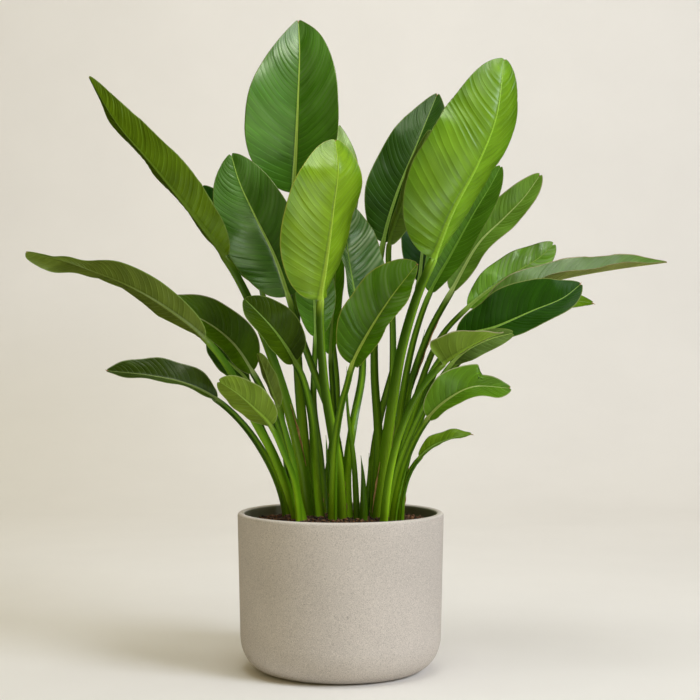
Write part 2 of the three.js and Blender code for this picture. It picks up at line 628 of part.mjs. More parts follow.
addMesh(plant, 'soil', soilGeometry(holes), '#3a2a1e', 0.95);
addMesh(plant, 'pot', potGeometry(), '#bdb4a6', 0.85);

export default plant;
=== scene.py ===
"""Potted bird of paradise: fine leaves, rolled shoots, soil and pot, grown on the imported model.

Leaf shapes are worked out in millimetres and become metres when their meshes are made. +Z is up, the
origin is the middle of the pot's flat underside, and the plant's front faces -Y.
"""

import math

import bpy
import numpy as np
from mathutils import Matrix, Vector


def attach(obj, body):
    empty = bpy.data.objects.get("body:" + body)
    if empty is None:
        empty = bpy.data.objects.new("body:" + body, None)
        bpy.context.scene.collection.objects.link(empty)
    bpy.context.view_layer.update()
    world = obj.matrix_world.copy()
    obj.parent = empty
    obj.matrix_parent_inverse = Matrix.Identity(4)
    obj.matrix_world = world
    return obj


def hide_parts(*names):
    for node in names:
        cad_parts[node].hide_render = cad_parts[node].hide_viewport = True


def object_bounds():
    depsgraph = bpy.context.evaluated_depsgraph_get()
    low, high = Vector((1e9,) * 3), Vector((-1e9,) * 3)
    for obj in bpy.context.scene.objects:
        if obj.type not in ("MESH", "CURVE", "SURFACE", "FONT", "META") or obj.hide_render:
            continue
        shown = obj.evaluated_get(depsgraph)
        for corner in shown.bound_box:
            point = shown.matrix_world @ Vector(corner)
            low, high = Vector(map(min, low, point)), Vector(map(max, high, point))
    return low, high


bl_info = {
    "name": "Potted Bird of Paradise",
    "version": (1, 0, 0),
    "blender": (4, 5, 0),
    "location": "View3D > Sidebar > Plant",
    "description": "Adds a bird of paradise with pleated leaves, its planter and a studio floor",
    "category": "Add Mesh",
}

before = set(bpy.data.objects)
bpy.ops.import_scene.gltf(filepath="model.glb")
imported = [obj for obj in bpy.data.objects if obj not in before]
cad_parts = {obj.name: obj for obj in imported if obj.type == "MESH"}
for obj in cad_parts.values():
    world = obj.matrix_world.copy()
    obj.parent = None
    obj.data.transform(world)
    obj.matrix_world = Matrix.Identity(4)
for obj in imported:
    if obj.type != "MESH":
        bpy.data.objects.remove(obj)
cad_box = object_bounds()

BODY = "root"
MM = 0.001

# Pot, as in the solid model
POT_RADIUS = 152.5
POT_HEIGHT = 232
POT_TAPER = 4
POT_WALL = 11
POT_FLOOR = 14
LIP_RADIUS = 4.5
CORNER_WIDTH = 42
CORNER_HEIGHT = 52
POT_SIDES = 224

# Soil, as in the solid model: its height at the wall, how much higher its middle is, the height of its lumps,
# and the height at which the stalks leave it
SOIL_RADIUS = POT_RADIUS - POT_WALL - 1
SOIL_EDGE = 216
SOIL_RISE = 7
SOIL_LUMP = 1.1
SOIL_LEVEL = 218
FIT_GAP = 0.3

# What the solid model leaves out: the loose mix that lies between the stalks, the roughness of the surface,
# how far that surface lies under the crumbs, and how far from the wall the crumbs stay
LOOSE_MIX = 4
SOIL_GRAIN = 0.55
SOIL_SINK = 0.8
CRUMB_MARGIN = 4
SOIL_SIDES = 260
SOIL_RINGS = 70
SOIL_SEED = 71

# Roots: their depth, and the share of its place on the surface that a root keeps at that depth
ROOT_DEPTH = 40
ROOT_DRAW = 0.98

# The eye that the plant's front elevation is drawn from, the width that it takes in at the pot's axis, and
# how far the clump opens with height
EYE_X = 13.8
EYE_Z = 471.6
EYE_DISTANCE = 2250
FRAME_WIDTH = 1038.1
SENSOR = 36
LEAN = 0.0018

# Section of every leaf: the stalk's depth as a share of its width, its skin, and its fold in degrees, which
# opens over COLLAR of the blade
STALK_DEPTH = 1.5
STALK_SKIN = 0.9
STALK_ROW = 12
GROOVE = 25
COLLAR = 0.04
ROWS_IN_PANEL = 5
END_ROWS = (0.02, 0.06, 0.11)
RIB_COLUMNS = (1 / 3, 2 / 3, 1)
BLADE_COLUMNS = (0.04, 0.11, 0.2, 0.3, 0.41, 0.52, 0.63, 0.74, 0.84, 0.92, 0.975, 1)

# Growth of every blade: how far a side vein strays, in panels, and leans towards the tip; how far the right
# margin's waves run ahead of the left's; width of the nick at the tip; length of a torn edge, as a share of
# the blade; wavelength and height of each slow swell; seed of the first leaf, to which each next one adds
# one; what the stalk's map says for its distance from the rim
VEIN_DRIFT = 0.22
VEIN_SWEEP = 1.7
MARGIN_LEAD = 1.7
NICK_WIDTH = 1.6
TEAR = 0.03
SWELLS = ((95, 0.9), (52, 0.45), (27, 0.18))
FIRST_SEED = 2
FAR_FROM_RIM = 20

# Light on and through the leaves: fine threads to a panel, share of the light that comes through a blade, and
# the painted shade on a stalk, which is darker the further back its root is
THREADS = 7
THROUGH = 0.14
STALK_DEPTHS = (-65, 30)
STALK_SHADES = (1.15, 0.6)

# Dried points and strips: thickness of a strip, and radius of a point where it starts and ends
STRIP_THICKNESS = 0.45
SPUR_RADIUS = 0.9
SPUR_END = 0.12

# What a leaf has where its entry doesn't say otherwise, and the colours of each tone
PLAIN = dict(cup=(-0.03, -0.05), widest=0.42, ease=(0.62, 0.7), wave=1.2, waves=2.5, phase=0, rim="#7c9440",
             halves=(1, 1), edge=0, tip=1, pleat=0.4, panel=1, veins=1, crease=0.05, notch=2.5, spur=0,
             rough=0.33, coat=0.05, bloom=0)
TONES = {
    "lime": dict(upper="#7fa81c", under="#86b01f", rib="#b4d84a"),
    "fresh": dict(upper="#5d9218", under="#6c9a2a", rib="#b0d460"),
    "mid": dict(upper="#4a8220", under="#64882a", rib="#aed060"),
    "deep": dict(upper="#3a7016", under="#587c2c", rib="#a0c858"),
    "dusky": dict(upper="#28520e", under="#52742c", rib="#94b850"),
}


def entry(name, tone, **own):
    """An entry of the table below, filled up with its tone's colours and the plain values, and with the
    painted shade of its stalk.
    """
    stalk_shade = float(np.interp(own["root"][1], STALK_DEPTHS, STALK_SHADES))
    return {**PLAIN, **TONES[tone], **own, "name": name, "tone": tone, "stalk_shade": stalk_shade}


# Shape of each leaf, in millimetres and degrees: root = where its stalk leaves the soil; radii = of the stalk
# at the soil and the collar; stalk and blade = its path up to the collar and along the midrib to the tip, as
# (across, up, back) on the front elevation; half = half widths of its two sides; roll = how far its upper
# face is turned from the front, fold = how far its halves stand up from flat, and cup = how far they curl,
# each from collar to tip; widest = where along the blade it is widest; ease = roundness of its base and tip;
# waist and torn = where and how far it narrows; wave, waves and phase = height, number and start of its
# margins' waves; pleat = height of the pleats between side veins; panel = width of a pleat as a share of the
# vein spacing; crease = roundness of the fold beside the midrib; notch = depth of the nick at the tip, and
# spur = length of the dry point there.
# Its finish: upper, under and rim = colours; rib and keel = colour of the midrib on the upper face and on the
# underside; halves = painted shade of the left and the right half, darker where a half turns from the light;
# edge = how much painted shade darkens the margins; tip = painted highlight, how much lighter the blade grows
# towards the tip; veins = strength of the vein lines; rough = roughness; coat = shine of the wax;
# bloom = a painted highlight of pale sheen on the crests of the pleats towards the tip.
LEAVES = [
    entry("leaf_crown", "mid", root=(-48, 34), radii=(9, 5),
          stalk=[(-54, 330, 36), (-62, 425, 38), (-67, 540, 36), (-69, 640, 30)],
          blade=[(-70, 705, 24), (-67, 760, 18), (-63, 850, 14), (-61, 915, 16), (-63, 962, 24)],
          half=(82, 86), roll=(-15, -15, -12), fold=(30, 28, 18), cup=(-0.03, -0.06), widest=0.36,
          ease=(0.62, 0.95), wave=2.2, waves=2, phase=0.6, upper="#528c1e", rib="#d4f870", pleat=0.5,
          veins=1.5, notch=5, spur=4, coat=0.9, bloom=0.13),
    entry("leaf_front_lime", "lime", root=(0, -34), radii=(8, 5),
          stalk=[(-5, 300, -46), (-14, 352, -50), (-25, 420, -56), (-31, 500, -60)],
          blade=[(-31, 546, -62), (-22, 602, -66), (-11, 680, -72), (-4, 737, -73), (-8, 784, -60)],
          half=(61, 71), roll=(220, 213, 199), fold=(37, 32, 14), cup=(0, -0.1), widest=0.4,
          ease=(0.44, 0.56), under="#8eb822", keel="#c0e44c", rim="#b4c04a", edge=0.6, pleat=0.3,
          crease=0.25, spur=5, coat=0.5),
    entry("leaf_left_mid", "mid", root=(4, 14), radii=(7, 4.5),
          stalk=[(0, 300, 14), (-12, 365, 16), (-34, 425, 20), (-58, 490, 18)],
          blade=[(-78, 552, 8), (-98, 610, 0), (-128, 672, -8), (-150, 720, -8), (-163, 763, -2)],
          half=(62, 62), roll=(-13, -13, -10), fold=(24, 21, 14), cup=(-0.05, -0.1), widest=0.41,
          ease=(0.54, 0.7), wave=2, phase=2.1, upper="#4e8024", rib="#c8f070", pleat=0.45, notch=4,
          rough=0.3, coat=0.7, bloom=0.13),
    entry("leaf_right_big", "fresh", root=(50, -30), radii=(9, 5.5),
          stalk=[(61, 290, -38), (75, 388, -50), (89, 470, -58), (112, 550, -66)],
          blade=[(137, 608, -72), (164, 675, -78), (204, 750, -80), (230, 815, -74), (243, 904, -60)],
          half=(60, 81), roll=(214, 213, 200), fold=(36, 33, 14), cup=(0, 0), widest=0.4, ease=(0.5, 0.56),
          wave=2, phase=1.2, under="#7eae20", keel="#aee044", edge=0.6, pleat=0.8, panel=1.2, veins=1.2,
          crease=0.25, spur=3, coat=0.6),
    entry("leaf_back_dark", "dusky", root=(54, 44), radii=(8, 4.5),
          stalk=[(56, 340, 58), (50, 440, 66), (52, 540, 70)],
          blade=[(63, 632, 70), (82, 700, 66), (110, 770, 66), (144, 853, 74)],
          half=(52, 62), roll=(-20, -18, -14), fold=(22, 18, 12), widest=0.38, ease=(0.62, 0.85), wave=2,
          phase=3, upper="#2e5408", pleat=0.45, veins=1.6, notch=4, spur=3, coat=0.2),
    entry("leaf_olive_fold", "fresh", root=(70, 22), radii=(6.5, 4),
          stalk=[(71, 350, 22), (77, 430, 20), (77, 520, 14)],
          blade=[(72, 628, 6), (92, 690, 2), (108, 745, 0), (132, 800, 4)],
          half=(30, 15), roll=(158, 158, 158), fold=(42, 40, 30), widest=0.45, ease=(0.62, 0.8),
          under="#4c6418"),
    entry("leaf_right_dark", "dusky", root=(72, 4), radii=(7, 4),
          stalk=[(84, 345, 10), (96, 430, 12), (112, 500, 16)],
          blade=[(133, 558, 18), (163, 612, 14), (196, 672, 12), (222, 715, 12), (238, 745, 14)],
          half=(40, 37), roll=(-25, -25, -20), fold=(30, 30, 20), widest=0.45, ease=(0.62, 0.75), wave=1.8,
          phase=4, upper="#508018", rib="#86b840", veins=1.5, coat=0.2),
    entry("leaf_right_upper", "mid", root=(68, 62), radii=(7.5, 4.5),
          stalk=[(80, 340, 70), (106, 430, 80), (132, 500, 84)],
          blade=[(165, 560, 80), (205, 630, 70), (243, 668, 62), (272, 698, 56), (297, 733, 52)],
          half=(34, 34), roll=(-30, -30, -24), fold=(30, 30, 20), widest=0.48, ease=(0.62, 0.6), wave=2,
          phase=0.5, upper="#74a034", rib="#d4ec8c", rim="#b8b088", notch=4, spur=3, coat=0.3),
    entry("leaf_right_gloss", "fresh", root=(82, 50), radii=(6.5, 4),
          stalk=[(94, 330, 60), (118, 420, 72), (148, 490, 80)],
          blade=[(190, 536, 80), (222, 562, 74), (258, 586, 66), (295, 609, 58), (317, 630, 54)],
          half=(32, 32), roll=(-10, -16, -16), fold=(18, 16, 10), widest=0.48, ease=(0.75, 0.6), wave=2.2,
          waves=3, phase=2.6, upper="#84bc38", pleat=0.3, notch=4, rough=0.24, coat=1, bloom=0.6),
    entry("leaf_right_long", "mid", root=(84, 18), radii=(6.5, 4),
          stalk=[(92, 300, 26), (118, 390, 36), (153, 470, 40)],
          blade=[(215, 540, 30), (275, 566, 22), (335, 580, 18), (400, 591, 18), (485, 602, 24)],
          half=(36, 34), roll=(-66, -69, -72), fold=(34, 36, 34), ease=(0.62, 0.75), wave=2.4, waves=3,
          phase=5, upper="#5c8030", under="#98a254", rim="#b8a880", spur=2.7, coat=0.5),
    entry("leaf_right_broad", "deep", root=(82, -20), radii=(6.5, 4),
          stalk=[(89, 300, -15), (106, 370, -11), (136, 440, -10)],
          blade=[(175, 488, -12), (230, 506, -17), (285, 530, -19), (330, 549, -18), (357, 570, -12)],
          half=(50, 38), roll=(-26, -28, -26), fold=(30, 28, 18), widest=0.45, ease=(0.62, 0.68), wave=1.6,
          phase=1.5, upper="#265204", rib="#9cc850", rim="#8a9a4a", pleat=0.35, veins=1.5, spur=5),
    entry("leaf_right_behind", "deep", root=(86, -6), radii=(5.5, 3.5),
          stalk=[(96, 300, 2), (111, 350, 6), (132, 398, 12), (172, 450, 20)],
          blade=[(232, 512, 22), (290, 535, 18), (335, 545, 16), (375, 541, 16)],
          half=(22, 22), roll=(-30, -35, -40), fold=(20, 20, 16), phase=3.3, upper="#74a00a", spur=5),
    entry("leaf_pale_lobe", "fresh", root=(60, -84), radii=(5.5, 3.8),
          stalk=[(72, 292, -88), (88, 352, -88), (116, 412, -88)],
          blade=[(152, 452, -90), (182, 472, -94), (212, 488, -92), (242, 498, -84)],
          half=(18, 37), roll=(225, 225, 220), fold=(36, 36, 28), widest=0.08, ease=(0.3, 2),
          under="#7a982e", rim="#b8b488", pleat=0.3, notch=1),
    entry("leaf_grey_low", "mid", root=(72, -32), radii=(5, 3.5),
          stalk=[(82, 285, -42), (100, 338, -48), (131, 402, -54)],
          blade=[(165, 452, -58), (186, 471, -63), (222, 488, -67), (257, 497, -67)],
          half=(17, 17), roll=(10, 10, 6), fold=(20, 18, 12), widest=0.4, ease=(0.62, 0.6), phase=1,
          upper="#668438"),
    entry("leaf_low_right", "deep", root=(74, -62), radii=(5.5, 3.8),
          stalk=[(84, 262, -74), (102, 322, -92)],
          blade=[(130, 371, -104), (158, 398, -110), (196, 417, -112), (253, 415, -108)],
          half=(35, 37), roll=(-37, -37, -30), fold=(38, 37, 26), widest=0.48, ease=(0.62, 0.6),
          torn=(0.66, 0.55), wave=1.8, phase=2, upper="#66961a", rib="#b4cc6c", rim="#b0b880", pleat=0.3,
          spur=3, coat=0.2),
    entry("leaf_low_small", "deep", root=(86, -38), radii=(4.5, 3),
          stalk=[(91, 258, -42), (102, 292, -48)],
          blade=[(117, 313, -52), (138, 330, -56), (165, 341, -58), (195, 347, -56)],
          half=(16, 16), roll=(-56, -60, -60), fold=(30, 30, 22), ease=(0.62, 0.65), phase=3,
          upper="#7ca41e", spur=5),
    entry("leaf_far_left", "mid", root=(-62, -32), radii=(7, 4.2),
          stalk=[(-77, 262, -40), (-101, 320, -54), (-128, 369, -70), (-166, 445, -92)],

          blade=[(-203, 491, -102), (-253, 530, -104), (-310, 565, -100), (-389, 596, -92), (-468, 617, -84)],
          half=(28, 32), roll=(148, 153, 158, 146, 134, 138, 188, 226, 232),
          fold=(36, 36, 35, 34, 34, 32, 30, 30, 30), widest=0.38, ease=(0.62, 0.46),
          waist=(0.72, 0.6, 0.11), wave=1.6, phase=1, upper="#3f6a1c", under="#627425", keel="#66762c",
          pleat=0.3, veins=1.6, spur=2.8),
    entry("leaf_upper_left", "mid", root=(-44, 2), radii=(9, 5),
          stalk=[(-53, 290, -4), (-78, 392, -10), (-108, 482, -18), (-145, 567, -28)],
          blade=[(-171, 610, -34), (-220, 674, -40), (-282, 750, -42), (-331, 807, -36), (-374, 878, -24)],
          half=(39, 35), roll=(136, 136, 140), fold=(38, 38, 30), widest=0.36, ease=(0.62, 0.85), wave=2,
          waves=3, phase=0.8, upper="#3f6418", under="#5e7c0e", keel="#5a7414", halves=(1.05, 0.6),
          pleat=0.9, veins=2.4, spur=3),
    entry("leaf_left_broad", "dusky", root=(-65, 43), radii=(7, 4.5),
          stalk=[(-78, 310, 42), (-97, 368, 36), (-117, 414, 26)],
          blade=[(-131, 440, 18), (-158, 480, 6), (-194, 510, -6), (-240, 531, -16), (-288, 541, -20)],
          half=(50, 40), roll=(36, 36, 30), fold=(36, 35, 24), widest=0.35, ease=(0.62, 0.9), wave=2,
          phase=2.4, upper="#486802", rib="#9fb068", rim="#9ba070", coat=0.1),
    entry("leaf_left_centre", "deep", root=(-30, -26), radii=(8, 4.5),
          stalk=[(-37, 290, -30), (-42, 370, -34), (-56, 430, -40)],
          blade=[(-68, 454, -44), (-86, 484, -52), (-106, 510, -56), (-143, 548, -54)],
          half=(38, 38), roll=(32, 32, 24), fold=(33, 32, 22), ease=(0.62, 0.65), wave=1.6, phase=4.4,
          upper="#3c5402", rib="#7a9c3a"),
    entry("leaf_lower_left", "dusky", root=(-78, 6), radii=(6, 4),
          stalk=[(-87, 262, 4), (-107, 308, -4), (-142, 360, -14)],
          blade=[(-184, 399, -24), (-230, 422, -34), (-284, 434, -38), (-348, 441, -36)],
          half=(31, 31), roll=(50, 50, 46), fold=(36, 35, 28), ease=(0.62, 0.75), wave=1.8, waves=3,
          phase=1.9, upper="#3c5206", rib="#869a50", rim="#9aa878", pleat=0.3, veins=1.4, spur=4, coat=0.2),
    entry("leaf_small_light", "fresh", root=(-59, -58), radii=(5, 3.6),
          stalk=[(-68, 276, -76), (-84, 318, -98)],
          blade=[(-104, 360, -110), (-127, 384, -118), (-152, 406, -120), (-182, 426, -116)],
          half=(28, 27), roll=(158, 158, 160), fold=(22, 22, 14), ease=(0.5, 0.55), wave=1.8, phase=0.4,
          under="#78942c", rim="#98a860", veins=1.5, notch=3),
    entry("leaf_left_hidden", "dusky", root=(-74, 22), radii=(5.5, 3.8),
          stalk=[(-92, 300, 34), (-120, 362, 42)],
          blade=[(-138, 426, 42), (-160, 448, 36), (-180, 466, 30), (-198, 483, 28)],
          half=(20, 20), roll=(-30, -26, -20), fold=(20, 16, 10), ease=(0.62, 0.65), upper="#386008"),
    entry("leaf_narrow_fold", "mid", root=(-52, -48), radii=(5, 3.4),
          stalk=[(-62, 252, -52), (-70, 305, -60), (-80, 345, -66)],
          blade=[(-93, 388, -70), (-102, 412, -72), (-112, 440, -72), (-123, 468, -70)],
          half=(15, 15), roll=(150, 150, 150), fold=(45, 40, 30), ease=(0.62, 0.65), under="#647826"),
    entry("leaf_centre_gloss", "deep", root=(12, -24), radii=(7, 4.5),
          stalk=[(10, 290, -16), (20, 365, 0), (33, 440, 34)],
          blade=[(29, 510, 58), (20, 560, 50), (10, 625, 40), (8, 690, 32)],
          half=(40, 55), roll=(38, 38, 30), fold=(42, 42, 30), widest=0.45, wave=1.8, phase=0.9,
          upper="#447e26", pleat=0.7, rough=0.24, coat=1, bloom=1),
    entry("leaf_front_right", "mid", root=(-12, -62), radii=(6, 4),
          stalk=[(-9, 330, -76), (0, 388, -84), (9, 420, -88)],
          blade=[(17, 450, -90), (42, 499, -96), (72, 546, -104), (98, 580, -116), (114, 600, -128)],
          half=(50, 50), roll=(-35, -35, -28), fold=(36, 35, 24), widest=0.38, ease=(0.5, 0.62), wave=2,
          phase=3.6, upper="#508208", rib="#c8e868", rim="#a5b04c", tip=1.4, pleat=0.9, veins=2.2, spur=4,
          coat=0.3, bloom=0.26),
    entry("leaf_back_right", "dusky", root=(44, 84), radii=(6.5, 4),
          stalk=[(52, 340, 92), (80, 450, 102), (104, 520, 108)],
          blade=[(116, 574, 110), (121, 620, 110), (125, 668, 112), (125, 722, 118)],
          half=(42, 42), roll=(16, 12, 8), fold=(16, 14, 10), widest=0.45, phase=2.2, upper="#1e4606"),
    entry("leaf_blue_gloss", "deep", root=(-24, 22), radii=(6, 4),
          stalk=[(-30, 310, 26), (-40, 390, 30), (-39, 450, 34)],
          blade=[(-37, 492, 34), (-39, 540, 30), (-44, 590, 28), (-48, 640, 30)],
          half=(34, 34), roll=(20, 18, 14), fold=(24, 20, 14), phase=5.1, upper="#609822", rough=0.28,
          coat=0.8, bloom=0.3),
    entry("leaf_centre_dark", "dusky", root=(-10, 48), radii=(5.5, 3.8),
          stalk=[(-8, 320, 56), (-12, 410, 62)],
          blade=[(-15, 466, 62), (-12, 520, 58), (-8, 580, 56), (-5, 640, 60)],
          half=(24, 24), roll=(-27, -27, -20), fold=(30, 30, 20), upper="#68a80a"),
    entry("leaf_behind_lime", "mid", root=(-26, 60), radii=(7, 4.2),
          stalk=[(-6, 400, 84), (-14, 500, 92)],
          blade=[(-23, 600, 92), (-18, 670, 86), (-8, 740, 84), (-3, 806, 90)],
          half=(46, 46), roll=(-6, -4, 0), fold=(18, 14, 10), ease=(0.62, 0.9), wave=1.8, phase=1.1,
          upper="#a8cc70", coat=0.5),
    entry("leaf_left_peek", "dusky", root=(-74, 70), radii=(6.5, 4),
          stalk=[(-84, 340, 84), (-100, 450, 96)],
          blade=[(-120, 570, 100), (-146, 620, 94), (-176, 668, 84), (-206, 715, 78)],
          half=(34, 34), roll=(16, 10, 4), fold=(18, 14, 10), ease=(0.62, 0.65), phase=2.9, upper="#1e4a0a"),
]

# Each rolled shoot: root and path as for a leaf's stalk, and its half width at the root
SPEARS = [
    dict(name="spear_front_left", root=(-13, -30), half=6,
         path=[(-15, 262, -32), (-19, 305, -33), (-22, 345, -32)]),
    dict(name="spear_centre", root=(-5, 0), half=5,
         path=[(-3, 262, -2), (-1, 302, -2), (1, 336, -4)]),
    dict(name="spear_right_front", root=(33, -52), half=7,
         path=[(34, 250, -54), (33, 285, -55), (30, 315, -54)]),
    dict(name="spear_right_back", root=(36, -26), half=5.5,
         path=[(40, 255, -28), (42, 288, -28), (42, 319, -26)]),
    dict(name="spear_tall_right", root=(84, 34), half=5,
         path=[(94, 350, 44), (106, 425, 50), (125, 502, 56)]),
    dict(name="spear_curled", root=(24, -42), half=5,
         path=[(20, 300, -46), (10, 390, -52), (9, 447, -60)]),
]

# Each dried strip along a sheath: leaf, side (1 = right), lowest and highest point, half width
DRY_MARGINS = (
    ("leaf_front_lime", 1, 219, 286, 3.0),
    ("leaf_left_centre", 1, 220, 270, 2.4),
    ("leaf_upper_left", 1, 300, 392, 2.1),
    ("leaf_right_big", 1, 222, 380, 2.3),
    ("leaf_right_big", -1, 232, 310, 1.7),
    ("leaf_crown", 1, 236, 336, 2.0),
    ("leaf_left_mid", -1, 280, 350, 2.4),
    ("leaf_right_upper", 1, 425, 525, 1.7),
    ("leaf_right_behind", 1, 225, 300, 2.0),
    ("leaf_front_right", -1, 226, 285, 1.8),
)


def linear(colour):
    """A #rrggbb colour as the shader's linear red, green, blue and alpha."""
    parts = [int(colour[i:i + 2], 16) / 255 for i in (1, 3, 5)]
    return tuple(p / 12.92 if p <= 0.04045 else ((p + 0.055) / 1.055) ** 2.4 for p in parts) + (1.0,)


def shade(colour, times):
    """The colour made lighter or darker by a factor."""
    return tuple(min(1.0, part * times) for part in colour[:3]) + (1.0,)


def smooth(low, high, value):
    """A smooth step from 0, where value is low, to 1."""
    share = np.clip((value - low) / (high - low), 0, 1)
    return share * share * (3 - 2 * share)


def along(values, t):
    """Values spaced evenly from collar to tip, read at t."""
    return np.interp(t, np.linspace(0, 1, len(values)), values)


def turns(sides):
    """Angles of points spaced evenly round a ring."""
    return 2 * math.pi * np.arange(sides) / sides


def on_sight(bend):
    """A bend of the front elevation, moved back along its line of sight."""
    across, up, depth = bend
    back = depth * (1 + LEAN * (up - SOIL_LEVEL))
    reach = 1 + back / EYE_DISTANCE
    return np.array([EYE_X + (across - EYE_X) * reach, back, EYE_Z + (up - EYE_Z) * reach])


def centripetal_span(before, start, end, after, share):
    """One span of a centripetal Catmull-Rom curve, at shares from 0 to 1."""
    points = (before, start, end, after)
    first, gap, last = [np.linalg.norm(b - a) ** 0.5 for a, b in zip(points, points[1:])]
    leave = (start - before) / first - (end - before) / (first + gap) + (end - start) / gap
    arrive = (end - start) / gap - (after - start) / (gap + last) + (after - end) / last
    leave, arrive = leave * gap, arrive * gap
    square = -3 * start + 3 * end - 2 * leave - arrive
    cube = 2 * start - 2 * end + leave + arrive
    share = share[:, None]
    return start + leave * share + square * share ** 2 + cube * share ** 3


class Spine:
    """The smooth line from a root in the soil to the tip, measured along its length in millimetres."""

    steps = 60

    def __init__(self, root, bends, collar_bend):
        x, y = root
        deep = np.array([x * ROOT_DRAW, y * ROOT_DRAW, SOIL_LEVEL - ROOT_DEPTH])
        knots = [deep, np.array([x, y, float(SOIL_LEVEL)])] + [on_sight(bend) for bend in bends]
        padded = [2 * knots[0] - knots[1]] + knots + [2 * knots[-1] - knots[-2]]
        shares = np.arange(self.steps) / self.steps
        spans = [centripetal_span(*padded[i:i + 4], shares) for i in range(len(knots) - 1)]
        self.points = np.concatenate(spans + [knots[-1][None]])
        gaps = np.linalg.norm(np.diff(self.points, axis=0), axis=1)
        self.lengths = np.concatenate([[0], np.cumsum(gaps)])
        self.soil = self.lengths[self.steps]
        self.collar = self.lengths[self.steps * collar_bend]
        self.total = self.lengths[-1]

    def grown(self, length):
        """How far up the stalk a length is, from 0 at the soil to 1 at the collar."""
        return np.clip((length - self.soil) / (self.collar - self.soil), 0, 1)

    def at(self, length):
        """The points at lengths along the line."""
        length = np.clip(length, 0, self.total)
        return np.stack([np.interp(length, self.lengths, self.points[:, k]) for k in range(3)], -1)

    def frame(self, length, roll):
        """Middle, tangent, side and upper face at each length, the face turned by roll from the front."""
        reach = 2
        tangent = self.at(length + reach) - self.at(length - reach)
        tangent /= np.linalg.norm(tangent, axis=-1, keepdims=True)
        front = np.array([0.0, -1.0, 0.0])
        face = front - (tangent @ front)[..., None] * tangent
        face /= np.linalg.norm(face, axis=-1, keepdims=True)
        cross = np.cross(tangent, face)
        up = face * np.cos(roll)[..., None] + cross * np.sin(roll)[..., None]
        return self.at(length), tangent, np.cross(tangent, up), up


def spine_of(leaf):
    """The line of a leaf's stalk and midrib."""
    return Spine(leaf["root"], leaf["stalk"] + leaf["blade"], 2 + len(leaf["stalk"]))


def stalk_radius(leaf, grown):
    """Half width of a stalk, which tapers from the soil to the collar."""
    at_soil, at_collar = leaf["radii"]
    return at_soil + (at_collar - at_soil) * grown ** 0.8


def outline(leaf, t):
    """Half width of the blade at t as a share of its greatest: an egg shape, with a waist if it has one."""
    widest = leaf["widest"]
    off = np.where(t < widest, (widest - t) / widest, (t - widest) / (1 - widest))
    share = np.maximum(1 - off ** 2, 0) ** np.where(t < widest, *leaf["ease"])
    if "waist" in leaf:
        at, depth, reach = leaf["waist"]
        share = share * (1 - depth * np.exp(-((t - at) / reach) ** 2))
    return share


def panel_rows(blade_length, spacing, draw):
    """Rows along the midrib, counted in panels between side veins, and where each one starts on the blade."""
    panels = max(5, round(blade_length / spacing))
    inner = np.arange(panels * ROWS_IN_PANEL + 1) / ROWS_IN_PANEL
    rows = np.union1d(inner, np.concatenate([END_ROWS, panels - np.array(END_ROWS)]))
    drift = np.interp(rows, np.arange(panels + 1), draw.uniform(-VEIN_DRIFT, VEIN_DRIFT, panels + 1))
    drift = drift * smooth(0, 1, rows) * smooth(0, 1, panels - rows)
    return rows, (rows + drift) / panels


def keep_inside(points, ease=3):
    """Eases points, in millimetres, back inside the solid model's box over its last few millimetres."""
    for limit, inward in zip(np.array([list(corner) for corner in cad_box]) / MM, (1, -1)):
        gap = inward * (points - limit)
        eased = limit + inward * ease * np.exp(np.minimum(gap, ease) / ease - 1)
        points = np.where(gap < ease, eased, points)
    return points


